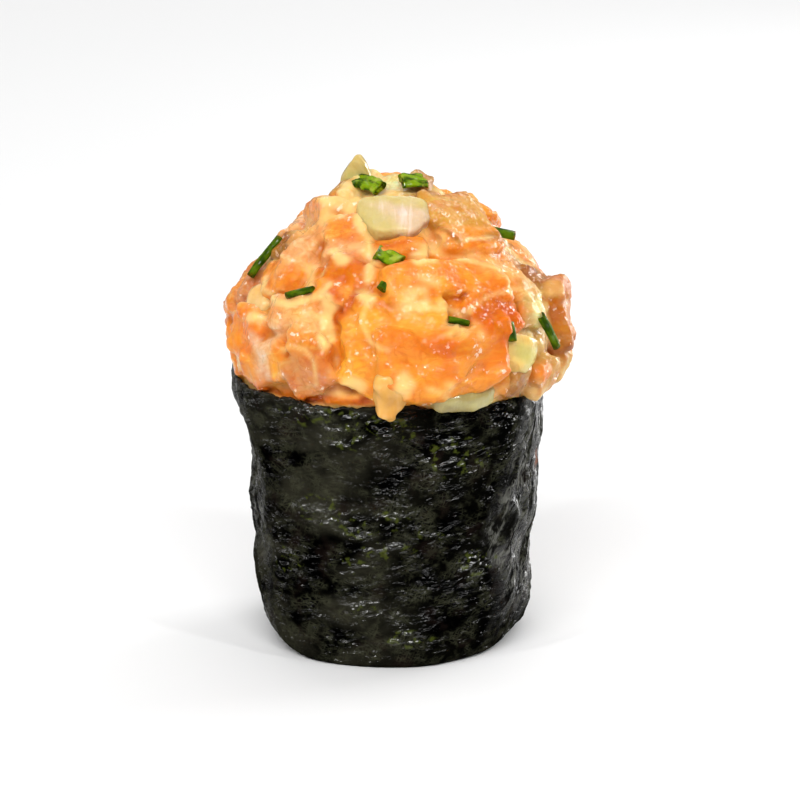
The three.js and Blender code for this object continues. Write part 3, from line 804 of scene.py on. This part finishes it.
def salmon_finish():
    shader = Shader("salmon in sauce")
    place, grain = shader.place(), shader.attribute("grain", "Vector")
    tint, sauce = shader.attribute("tint", "Color"), shader.attribute("sauce")
    streaks = shader.noise(shader.mapped(grain, (0.12, 1.1, 0.6)), 1.0, 2, 0.5, 0.8)
    fibres = shader.noise(shader.mapped(grain, (0.45, 2.6, 1.6)), 1.0, 3)
    patches = shader.noise(place, 300, 4)
    flesh = shader.mix(shader.ranged(streaks, 0.54, 0.7, 0, 0.6), tint, (1.02, 1.4, 1.9, 1), "MULTIPLY")
    shade = shader.mix(1.0, flesh, linear((236, 170, 110)), "MULTIPLY")
    flesh = shader.mix(shader.ranged(patches, 0.44, 0.64, 0, 0.5), flesh, shade)
    flesh = shader.mix(shader.ranged(fibres, 0.4, 0.65, 0, 0.5), flesh, (1.02, 1.2, 1.35, 1), "MULTIPLY")
    # Painted shade: thin darker orange lines, in patches, stand for the shade in fine cracks of the flesh.
    crack_shade = shader.lines(shader.mapped(place, (650, 650, 650)), 12)
    crack_shade = shader.times(crack_shade, shader.ranged(shader.noise(place, 240, 2), 0.42, 0.6, 0, 0.5))
    flesh = shader.mix(crack_shade, flesh, (0.8, 0.6, 0.3, 1), "MULTIPLY")
    wavy = shader.math("ADD", sauce, shader.times(shader.math("SUBTRACT", patches, 0.5), 0.4))
    colour = shader.mix(shader.ranged(wavy, 0.15, 1.0, 0, 0.88), flesh, linear(SAUCE))
    wet = shader.noise(shader.mapped(place, (1, 1, 1.4)), 620, 3, 0.6)
    under = shader.bump(wet, 0.0003, 0.6)
    patchy = shader.ranged(shader.noise(place, 210, 2), 0.4, 0.54, 0.1, 1.0)
    line = shader.off_middle(shader.noise(place, 260, 2))
    chain = shader.times(shader.ranged(line, 0.1, 0.03), patchy)
    # Painted highlights: tiny pale dots along the chains of gloss, painted into the base colour as glints.
    painted_glints = shader.times(shader.ranged(shader.noise(place, 1250, 2), 0.62, 0.7), chain)
    colour = shader.mix(shader.times(painted_glints, 0.6), colour, linear((255, 230, 204)))
    cover = shader.level(chain, 0.3, 1.0)
    over = shader.bump(shader.noise(place, 1150, 1), 0.0011, cover, under)
    shader.set(Base_Color=colour, Roughness=0.45, Specular_IOR_Level=0.08, Normal=under, Coat_Normal=over)
    shader.set(Subsurface_Weight=0.35, Subsurface_Scale=0.0012, Subsurface_Radius=(1.0, 0.5, 0.22))
    shader.set(Coat_Weight=cover, Coat_Roughness=0.05)
    return shader.material


# ---- onion
# How square an onion's corners are, how far it curls, and how uneven and how rough it is.
ONION_POWER, ONION_CURL, ONION_UNEVEN, ONION_ROUGH = 3.4, 0.18, 0.32, 0.16
# Each onion's own colour, the colour of its film of sauce, and how strongly its veins show.
ONION_COLOURS = {
    "petal": ((210, 180, 146), (196, 176, 104), 0.4),
    "peak": ((178, 170, 100), (190, 164, 96), 0.1),
    "pale": ((222, 180, 110), (228, 168, 90), 0.06),
    "lime": ((204, 190, 108), (222, 184, 106), 0.06),
    "rim": ((172, 162, 104), (154, 138, 84), 0.03),
    "amber": ((206, 150, 66), (226, 172, 92), 0.06),
}


def onion_mesh(item, number):
    width, height, depth = item["size"]
    bm = rounded_block(item["size"], power=item.get("power", ONION_POWER), cuts=19, taper=item["taper"])
    for vertex in bm.verts:
        start = vertex.co.copy()
        vertex.co.z -= ONION_CURL * depth * (2 * start.x / width) ** 2
        vertex.co += wobble(start, 0.4 * max(width, height), number + 20) * item.get("uneven", ONION_UNEVEN)
        vertex.co += wobble(start, 1.1, number + 40) * ONION_ROUGH
    bmesh.ops.transform(bm, matrix=on_heap(item), verts=bm.verts[:])
    mesh = mesh_of("onion", bm)
    local = own_axes(places(mesh), item)
    paint(mesh, "grain", "FLOAT_VECTOR", local)
    away = np.maximum(local[:, 1] / height - 0.12, -0.08 - local[:, 0] / width - 0.5 * local[:, 1] / height)
    paint(mesh, "sauce", "FLOAT", smoothstep(-0.25, 0.4, away))
    return mesh


def onion_finish(look):
    shader = Shader("onion " + look)
    grain, place = shader.attribute("grain", "Vector"), shader.place()
    flesh, film, vein_share = ONION_COLOURS[look]
    veins = shader.noise(shader.mapped(grain, (1.7, 0.2, 0.4), (0, 0, 12)), 1.0, 3, 0.5, 0.5)
    patches = shader.noise(place, 420, 3)
    sauce = shader.math("ADD", shader.attribute("sauce"), shader.math("SUBTRACT", patches, 0.5))
    veins_seen = shader.ranged(veins, 0.46, 0.7, 0, vein_share)
    colour = shader.mix(veins_seen, linear(flesh), linear((244, 230, 222)))
    colour = shader.mix(shader.ranged(sauce, 0.1, 0.9, 0, 0.9), colour, linear(film))
    height = shader.math("ADD", shader.times(veins, 0.4), shader.noise(place, 800, 2))
    normal = shader.bump(height, 0.0004, 0.6)
    beads = shader.ranged(shader.noise(place, 520, 2), 0.48, 0.58, 0.2, 1.0)
    shader.set(Base_Color=colour, Roughness=0.4, Specular_IOR_Level=0.15, Normal=normal)
    shader.set(Subsurface_Weight=0.6, Subsurface_Scale=0.0014, Subsurface_Radius=(1.0, 0.8, 0.45))
    shader.set(Coat_Weight=beads, Coat_Roughness=0.08)
    return shader.material


# ---- chives
# Each kind of cut: how large its crimps are, how deep they are and how much it curves.
CHIVE_KINDS = {"flake": (1.1, 0.34, 0.05), "rod": (1.8, 0.1, 0.012)}
CHIVE_WALL, CHIVE_HOLLOW_SHARE = 0.16, 0.8


def chive_mesh(item, number):
    """A cut length of a round leaf, flattened, with its hollow showing at both ends."""
    length, width, thickness = item["size"]
    crimp_size, crimp, curve = CHIVE_KINDS[item["look"]]
    bm = bmesh.new()
    bmesh.ops.create_cone(bm, segments=14, radius1=0.5, radius2=0.5, depth=1, cap_ends=True)
    lengthwise = [edge for edge in bm.edges if abs(edge.verts[0].co.z - edge.verts[1].co.z) > 0.5]
    bmesh.ops.subdivide_edges(bm, edges=lengthwise, cuts=9)
    ends = [face for face in bm.faces if len(face.verts) > 6]
    bmesh.ops.inset_individual(bm, faces=ends, thickness=CHIVE_WALL)
    for face in ends:
        for vertex in face.verts:
            vertex.co.z *= CHIVE_HOLLOW_SHARE
    bmesh.ops.rotate(bm, verts=bm.verts[:], matrix=Euler((0, math.pi / 2, 0)).to_matrix())
    for vertex in bm.verts:
        start = Vector((vertex.co.x * length, vertex.co.y * width, vertex.co.z * thickness))
        vertex.co = start + wobble(start, crimp_size, number + 80) * crimp
        vertex.co.z -= curve * start.x**2
    bmesh.ops.transform(bm, matrix=on_heap(item), verts=bm.verts[:])
    return bm


def chives_mesh():
    """All the cuts in one mesh. grain holds each one's own coordinates, and leaf is 1 on the flakes."""
    cuts, grain, leaf = bmesh.new(), [], []
    for number, item in enumerate(CHIVES):
        cut = mesh_of("cut", chive_mesh(item, number))
        grain.append(own_axes(places(cut), item) + 20 * number)
        leaf += [float(item["look"] == "flake")] * len(cut.vertices)
        cuts.from_mesh(cut)
        bpy.data.meshes.remove(cut)
    mesh = mesh_of("chives", cuts)
    paint(mesh, "grain", "FLOAT_VECTOR", np.concatenate(grain))
    paint(mesh, "leaf", "FLOAT", leaf)
    return mesh


def chive_finish():
    shader = Shader("chive")
    place, grain = shader.place(), shader.attribute("grain", "Vector")
    tone = shader.noise(shader.mapped(grain, (0.6, 1.5, 1.0)), 1.0, 4)
    leaf = shader.attribute("leaf")
    green = shader.mix(leaf, linear((80, 104, 4)), linear((116, 144, 12)))
    green = shader.mix(shader.ranged(tone, 0.36, 0.6), linear((36, 62, 0)), green)
    pale = shader.times(shader.ranged(shader.noise(place, 520, 3), 0.54, 0.68, 0, 0.5), leaf)
    green = shader.mix(pale, green, linear((178, 186, 74)))
    height = shader.noise(place, 1600, 2)
    spots = shader.ranged(shader.noise(place, 900, 2), 0.56, 0.64, 0.0, 0.8)
    normal = shader.bump(height, 0.0002, 0.6)
    shader.set(Base_Color=green, Roughness=0.5, Specular_IOR_Level=0.04, Normal=normal)
    shader.set(Subsurface_Weight=0.25, Subsurface_Scale=0.0006, Coat_Weight=spots, Coat_Roughness=0.08)
    return shader.material


# ---- nori
BAND_COLUMNS, BAND_ROWS = 536, 164
BAND_INNER = [0.4, 1.2, 2.4, 4, 6, 9, 14, 20, 27, 31]
STRIP_LENGTH, STRIP_PITCH = 112.0, 0.14
WRINKLES, FIBRES = 1500, 6000
# How high the relief is: broad and fine crumples, fibres and the ragged rim, about its middle.
BROAD_CRUMPLE, FINE_CRUMPLE, FIBRE_HEIGHT, RAGGED_RIM, RELIEF_MIDDLE = 0.17, 0.12, 0.14, 0.35, 0.12
# A shallow groove runs up the band: where, how wide and how deep.
GROOVE_AT, GROOVE_WIDTH, GROOVE_DEPTH = 40, 5, 0.45
# A small stain: around, up, half its width in degrees and half its height.
STAIN_AT, STAIN_UP, STAIN_WIDE, STAIN_TALL = 72, 23.6, 2.4, 1.9
# The ripples that catch light, where the nori is dry and where it is wet: length and width.
RIPPLE_FINE, RIPPLE_COARSE, RIPPLE_TURN = (1.7, 0.75), (3.4, 2.0), 8
# The nori's black, and the colours of what lies on it. The grey of the film is partly painted sheen, and the
# pale grey of the strands is painted sheen.
NORI_COLOURS = {
    "black": (1, 1, 1),
    "film": (38, 37, 29),
    "brown": (26, 19, 16),
    "thread": (72, 73, 56),
    "painted_sheen": (106, 106, 98),
    "spot": (68, 75, 28),
    "stain": (112, 58, 26),
}
# Single creases of the nori: around, up, length, width, turn and slope.
CREASES = [
    (-60, 11.2, 16, 1.4, -4, 0.5),
    (-78, 22, 14, 1.2, 84, 0.4),
    (50, 16, 20, 1.6, 86, 0.4),
    (60, 20, 12, 0.9, 72, 0.6),
    (66, 10, 12, 0.9, 66, 0.6),
    (74, 16, 10, 0.8, 64, 0.5),
    (54, 25, 8, 0.8, 60, 0.5),
    (30, 9, 10, 0.9, 20, 0.4),
]
# Where the nori is crumpled and wet: around, up, across and tall.
CRUMPLES = [
    (-24, 31.8, 11, 1.6),
    (-17, 29.6, 4.5, 2.2),
    (0, 30.4, 5, 2),
    (-28, 20, 6.5, 2),
    (0, 19.2, 3, 1.6),
    (-13, 17.9, 4, 1.6),
    (-2, 15.3, 5.5, 1.4),
    (13, 17, 3, 1.4),
    (-44, 12.8, 4, 2),
    (-16, 13.2, 4, 1.4),
    (-10, 8, 4, 1.4),
    (6, 4, 5, 1.4),
    (24, 27, 7, 3),
    (34, 13, 5, 2),
    (118, 27, 6, 2),
    (150, 14, 7, 2),
    (192, 24, 8, 2),
    (222, 11, 6, 2),
    (250, 29, 7, 2),
    (262, 18, 5, 2),
]


class Strip:
    """A height map of the flat strip that strokes are drawn on."""

    def __init__(self):
        self.columns = round(STRIP_LENGTH / STRIP_PITCH)
        self.rows = round((BAND_HEIGHT + 2) / STRIP_PITCH)
        self.map = np.zeros((self.rows, self.columns))

    def stroke(self, along, up, length, width, turn, slope, wave=0.0, phase=0.0, top=9.0):
        """Draws a ridge with two flat faces, as steep as slope says, that ends in points."""
        reach = int((length / 2 + width) / STRIP_PITCH) + 2
        column, row = int(along / STRIP_PITCH), int(up / STRIP_PITCH)
        rows = np.arange(max(0, row - reach), min(self.rows, row + reach))
        columns = np.arange(column - reach, column + reach)
        x = columns[None, :] * STRIP_PITCH - along
        y = rows[:, None] * STRIP_PITCH - up
        cosine, sine = math.cos(math.radians(turn)), math.sin(math.radians(turn))
        lengthwise, across = x * cosine + y * sine, y * cosine - x * sine
        across = across + wave * np.sin(lengthwise * 1.1 + phase)
        ends = np.clip((length / 2 - np.abs(lengthwise)) / (0.35 * length), 0, 1)
        ridge = np.minimum(top, slope * np.maximum(0, width * ends - np.abs(across)))
        window = np.ix_(rows, columns % self.columns)
        self.map[window] = np.maximum(self.map[window], ridge)

    def at(self, along, up):
        """The map's value at places of the strip, blended between its cells."""
        column, row = along / STRIP_PITCH, np.clip(up / STRIP_PITCH, 0, self.rows - 1.001)
        left, low = np.floor(column).astype(int), np.floor(row).astype(int)
        x, y = column - left, row - low
        left, right = left % self.columns, (left + 1) % self.columns
        lower = between(self.map[low, left], self.map[low, right], x)
        upper = between(self.map[low + 1, left], self.map[low + 1, right], x)
        return between(lower, upper, y)


def fibre_turn(around, number):
    """Fibres lie level in front and climb towards the back on both sides."""
    side = math.sin(math.radians(around))
    steep = 66 * side * abs(side)
    return steep + (draw(number) - 0.5) * between(100, 44, abs(side)) + (90 if number % 9 == 0 else 0)


def along_strip(around):
    return ((around - LAP_END) % 360) / 360 * STRIP_LENGTH


def scattered(count, first, step):
    """Places strewn over the strip: number, along, up, around and three more draws for each."""
    for number in range(count):
        along, up, *more = draws(number, first, step, 5)
        along *= STRIP_LENGTH
        yield number, along, up * BAND_HEIGHT, LAP_END + 360 * along / STRIP_LENGTH, more


def nori_maps():
    """Height maps of the creases and of the fibres, and how wet the nori is."""
    creases, fibres, wet = Strip(), Strip(), Strip()
    for around, up, length, width, turn, slope in CREASES:
        creases.stroke(along_strip(around), up, length, width, turn, slope, 0.5, around)
    number = 0
    for around, up, across, tall in CRUMPLES:
        wet.stroke(along_strip(around), up, across * 1.6, tall, 0, 1.6 / tall, top=1)
        for fold in range(round(across * tall * 1.2)):
            number += 1
            shift, rise, long, wide, turn, steep = draws(number, 70, 400, 6)
            spot = along_strip(around + (shift - 0.5) * across * 3.2)
            size = between(1.2, 3.4, long), between(0.35, 0.7, wide)
            turn = fibre_turn(around, 0) * 0.5 + (turn - 0.5) * 60
            slope = between(0.4, 0.7, steep)
            creases.stroke(spot, up + (rise - 0.5) * tall, *size, turn, slope, 0.2, number)
    for number, along, up, around, (long, wide, steep) in scattered(WRINKLES, 1000, 1000):
        side = abs(math.sin(math.radians(around)))
        size = between(1.5, 6 + 3 * side, long), between(0.3, 0.8, wide)
        slope = between(0.2, 0.62, steep)
        creases.stroke(along, up, *size, fibre_turn(around, number), slope, 0.25, number)
    for number, along, up, around, (long, wide, steep) in scattered(FIBRES, 6000, 10000):
        size = between(0.8, 3.4, long**2), between(0.18, 0.3, wide)
        slope = between(0.3, 1, steep) / 0.3
        fibres.stroke(along, up, *size, fibre_turn(around, number), slope, 0.1, number)
    return creases, fibres, wet


def strip_noise(along, up, size, depth, kind=noise.noise, *settings):
    """Smooth noise on the strip that changes over about size along it and up."""
    spots = np.c_[along / size[0], up / size[1], np.full_like(along, depth)]
    return np.array([kind(Vector(spot), *settings) for spot in spots])


def band_mesh():
    heights = [row / BAND_ROWS for row in range(BAND_ROWS + 1)]
    bm = bmesh.new()
    outline = [bm.verts.new((2, 0, share)) for share in heights]
    outline.append(bm.verts.new((1.5, 0, 1.004)))
    outline += [bm.verts.new((1, 0, 1 - depth / BAND_HEIGHT)) for depth in [0] + BAND_INNER]
    outline.append(bm.verts.new((1, 0, 0)))
    edges = [bm.edges.new(pair) for pair in zip(outline, outline[1:] + outline[:1])]
    bmesh.ops.spin(
        bm, geom=outline + edges, axis=(0, 0, 1), cent=(0, 0, 0), angle=math.tau,
        steps=BAND_COLUMNS, use_merge=True, use_normal_flip=False, use_duplicate=False,
    )
    bmesh.ops.recalc_face_normals(bm, faces=bm.faces[:])
    mesh = mesh_of("nori", bm)
    drawn = places(mesh)
    around = np.arctan2(drawn[:, 0], -drawn[:, 1])
    layer, share = np.hypot(drawn[:, 0], drawn[:, 1]) - 1, np.minimum(1, drawn[:, 2])
    z = share * rim_height(around)
    degrees = np.degrees(around)
    along = along_strip(degrees)
    creases, fibres, wet = nori_maps()
    face = band_radius(around, z)
    crumple = BROAD_CRUMPLE * strip_noise(along, z, (5.2, 3.0), 0.3)
    crumple += FINE_CRUMPLE * strip_noise(along, z, (2.1, 1.5), 9.1, noise.fractal, 0.9, 2.1, 3)
    out = crumple + creases.at(along, z) - RELIEF_MIDDLE
    out += FIBRE_HEIGHT * fibres.at(along, z) * (layer > 0.5)
    groove = (degrees - GROOVE_AT) / GROOVE_WIDTH
    out -= GROOVE_DEPTH * np.exp(-groove * groove) * smoothstep(2, 8, z) * smoothstep(30, 22, z)
    out *= np.minimum(1, z / 1.5)
    radius = between(face - BAND_WALL, face + BAND_WALL * lap_share(around), layer) + out
    ragged = strip_noise(along, np.full_like(along, 2.2), (1.6, 1), 7.7, noise.fractal, 0.8, 2.2, 3)
    z = z + smoothstep(0.93, 1, share) * RAGGED_RIM * ragged + 0.12 * (drawn[:, 2] > 1)
    points = np.c_[radius * np.sin(around), -radius * np.cos(around), z] + np.array(AXIS)
    set_places(mesh, points)
    patchy = strip_noise(along, z, (9, 9), 5.5)
    # The streaked sheen lies on the right side. Its front border leans and wavers.
    border = degrees - 10 * smoothstep(18, 32, z) - 9 * patchy
    right = smoothstep(39, 50, border) * smoothstep(130, 105, degrees) * smoothstep(0, 12, z)
    elsewhere = smoothstep(50, 64, np.abs(degrees)) * smoothstep(-0.25, 0.3, patchy)
    behind = smoothstep(60, 100, np.abs(degrees))
    # Partly painted light: the grey film is the nori's own dull film, and its spread, strong on the left of
    # the front and faint on its right, is painted sheen.
    film = between(0.1 + 0.9 * smoothstep(16, -26, degrees), 0.75, behind)
    stain = np.hypot((degrees - STAIN_AT) / STAIN_WIDE, (z - STAIN_UP) / STAIN_TALL)
    # strip is the place on the flat strip, lift how far the surface faces up, net where the streaked
    # sheen lies, right is 1 on the right side, and wet, film and stain say how much of each there is.
    paint(mesh, "strip", "FLOAT_VECTOR", np.c_[along, z, layer])
    for name, values in {
        "lift": normals(mesh)[:, 2],
        "wet": wet.at(along, z),
        "net": np.maximum(right, 0.6 * elsewhere),
        "right": (np.sin(around) > 0).astype(float),
        "film": film,
        "stain": smoothstep(1.2, 0.4, stain + 0.5 * patchy),
    }.items():
        paint(mesh, name, "FLOAT", values)
    return mesh


def slope_up(shader, vector, size, turn):
    """How much a fine rippled relief of the strip falls back upwards at each place."""
    shifted = [shader.stretched(vector, *size, turn, rise) for rise in (0.1, -0.1)]
    below, above = [shader.noise(place, 1.0, 2, 0.6) for place in shifted]
    return shader.math("SUBTRACT", below, above)


def nori_finish():
    shader = Shader("nori")
    strip = shader.attribute("strip", "Vector")
    net, right = shader.attribute("net"), shader.attribute("right")
    wet = shader.ranged(shader.attribute("wet"), 0.03, 0.5)
    colours = {name: linear(colour) for name, colour in NORI_COLOURS.items()}

    threads = None
    for turn, length, width in ((12, 3.4, 0.55), (-28, 2.8, 0.5), (66, 2.4, 0.55)):
        line = shader.lines(shader.stretched(strip, length, width, turn), 18)
        threads = line if threads is None else shader.math("MAXIMUM", threads, line)
    climbing = [shader.lines(shader.stretched(strip, 3.2, 0.6, turn), 14) for turn in (-62, 62)]
    climbing = shader.level(right, *climbing)
    crossing = shader.times(shader.lines(shader.stretched(strip, 2.2, 0.8, 100), 14), 0.8)
    climbing = shader.math("MAXIMUM", climbing, crossing)
    broken = shader.ranged(shader.drawn_out(strip, (2.4, 1.3), 66, 4), 0.46, 0.6)
    sheen_strands = shader.times(climbing, shader.times(net, broken))

    # Partly painted light: grey patches of dull film, spread by the film attribute so that the left of the
    # front is lighter, a painted sheen.
    film = shader.ranged(shader.drawn_out(strip, (9, 5), 14, 5, 0.5, 0.4), 0.4, 0.62)
    film = shader.times(film, shader.attribute("film"))
    base = shader.mix(film, colours["black"], colours["film"])
    base = shader.mix(shader.ranged(shader.noise(strip, 0.3, 3), 0.54, 0.7, 0, 0.6), base, colours["brown"])
    gate = shader.ranged(shader.noise(strip, 0.5, 3), 0.42, 0.66)
    base = shader.mix(shader.times(threads, shader.times(gate, 0.42)), base, colours["thread"])
    # Painted sheen: the streaked strands are painted pale grey where the glancing sheen lies, mostly on the
    # right side.
    base = shader.mix(shader.times(sheen_strands, 0.75), base, colours["painted_sheen"])
    spots = shader.times(shader.ranged(shader.noise(strip, 0.9, 3), 0.54, 0.66, 0, 0.7), wet)
    base = shader.mix(spots, base, colours["spot"])
    base = shader.mix(shader.attribute("stain"), base, colours["stain"])

    fine = shader.drawn_out(strip, RIPPLE_FINE, RIPPLE_TURN, 2, 0.6)
    coarse = shader.drawn_out(strip, RIPPLE_COARSE, RIPPLE_TURN, 3, 0.6)
    ribs = [shader.drawn_out(strip, (7, 1.3), turn, 4, 0.55, 0.4) for turn in (-62, 62)]
    ripple = shader.level(net, shader.level(wet, fine, coarse), shader.level(right, *ribs))
    dry_tilt = shader.times(slope_up(shader, strip, RIPPLE_FINE, RIPPLE_TURN), 5.0)
    wet_tilt = shader.times(slope_up(shader, strip, RIPPLE_COARSE, RIPPLE_TURN), 11.0)
    tilt = shader.math("ADD", shader.level(wet, dry_tilt, wet_tilt), shader.attribute("lift"))
    facing_up = shader.ranged(tilt, 0.1, 0.28)
    general = shader.ranged(shader.noise(strip, 0.32, 4, 0.6), 0.42, 0.62, 0.0, 0.7)
    shine = shader.times(shader.math("MAXIMUM", wet, general), shader.level(net, 1.0, 0.3))
    sheen = shader.times(shader.ranged(shader.drawn_out(strip, (6, 2.2), 66, 3), 0.4, 0.53, 0.06, 1.0), net)
    sheen = shader.math("MAXIMUM", sheen_strands, sheen)
    cover = shader.math("MAXIMUM", shader.times(facing_up, shine), sheen)
    shader.set(Base_Color=base, Roughness=0.5, Specular_IOR_Level=0.0)
    shader.set(Normal=shader.bump(threads, 0.00005, 0.5))
    shader.set(Coat_Weight=cover, Coat_Roughness=0.14, Coat_Normal=shader.bump(ripple, 0.0012))
    return shader.material


# ---- rice
def rice_mesh():
    """The pressed block, copied from its solid. Its grains are in its finish."""
    bm = bmesh.new()
    bm.from_mesh(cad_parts["rice_block"].data)
    bmesh.ops.remove_doubles(bm, verts=bm.verts[:], dist=1e-7)
    bmesh.ops.scale(bm, vec=(1 / MM,) * 3, verts=bm.verts[:])
    return mesh_of("rice", bm)


def rice_finish():
    shader = Shader("rice")
    place = shader.place()
    grains = shader.cells(place, 340)
    tone = shader.ranged(shader.noise(place, 500, 3), 0.4, 0.7)
    colour = shader.mix(tone, linear((236, 228, 208)), linear((250, 246, 236)))
    shader.set(Base_Color=colour, Roughness=0.4, Normal=shader.bump(grains, 0.0009, 0.7))
    shader.set(Subsurface_Weight=0.5, Subsurface_Scale=0.001)
    return shader.material


# ---- dress the part
finish_piece("salmon", heap_mesh(SALMON + back_pieces()), salmon_finish(), "salmon", "salmon_heap")

finishes = {look: onion_finish(look) for look in ONION_COLOURS}
for number, (node, item) in enumerate(ONION.items()):
    finish_piece(node + "_cut", onion_mesh(item, number), finishes[item["look"]], "onion", node)

finish_piece("chives", chives_mesh(), chive_finish(), "chive", "salmon_heap")
finish_piece("nori", band_mesh(), nori_finish(), "nori", "nori_band")
finish_piece("rice", rice_mesh(), rice_finish(), "rice", "rice_block")

# ---- floor, light and camera
VIEW_DISTANCE, VIEW_ELEVATION = 450.0, 14.0
VIEW_TARGET = Vector((0.22, 0.65, 29.5))
LENS, SENSOR = 163.2, 36.0
AIR_LIGHT = 0.13
MIDDLE = (0, 0, 0.03)
# The lamps: name, place, what they are aimed at and size in metres, and power in watts.
LAMPS = [
    ("key", (-0.04, -0.5, 0.46), MIDDLE, (0.48, 0.17), 3.6),
    ("fill", (0, 0.1, 0.95), MIDDLE, (0.9, 0.9), 2.6),
    ("right", (0.42, 0.3, 0.14), MIDDLE, (0.3, 0.28), 2.4),
    ("left", (-0.5, 0.25, 0.2), MIDDLE, (0.2, 0.34), 0.35),
    ("back", (0, 0.85, 0.7), (0, 0.8, 0), (1.4, 0.5), 6.0),
    ("spark_left", (-0.4, -0.4, 0.42), MIDDLE, (0.04, 0.04), 0.85),
    ("spark_right", (0.42, -0.4, 0.5), MIDDLE, (0.04, 0.04), 0.85),
]


def floor():
    bm = bmesh.new()
    bmesh.ops.create_grid(bm, x_segments=2, y_segments=2, size=4)
    made = object_of("floor", mesh_of("floor", bm))
    shader = Shader("floor")
    shader.set(Base_Color=linear((232, 232, 232)), Roughness=0.9, Specular_IOR_Level=0.1)
    made.data.materials.append(shader.material)


def area_light(name, place, aim, size, power):
    lamp = bpy.data.lights.new(name, "AREA")
    lamp.shape, lamp.size, lamp.size_y = "RECTANGLE", size[0], size[1]
    lamp.energy = power
    made = object_of(name, lamp)
    made.location = place
    made.rotation_euler = (Vector(aim) - Vector(place)).to_track_quat("-Z", "Y").to_euler()


def light():
    world = bpy.data.worlds.new("studio")
    bpy.context.scene.world = world
    world.use_nodes = True
    background = world.node_tree.nodes["Background"]
    background.inputs["Color"].default_value = (1, 1, 1, 1)
    background.inputs["Strength"].default_value = AIR_LIGHT
    for lamp in LAMPS:
        area_light(*lamp)


def camera():
    lens = bpy.data.cameras.new("view")
    lens.lens, lens.sensor_width = LENS, SENSOR
    lens.clip_start, lens.clip_end = 0.01, 20
    made = object_of("view", lens)
    rise = math.radians(VIEW_ELEVATION)
    made.location = (VIEW_TARGET + VIEW_DISTANCE * Vector((0, -math.cos(rise), math.sin(rise)))) * MM
    made.rotation_euler = (math.pi / 2 - rise, 0, 0)
    bpy.context.scene.camera = made


floor()
light()
camera()
bpy.context.scene.view_settings.view_transform = "Standard"
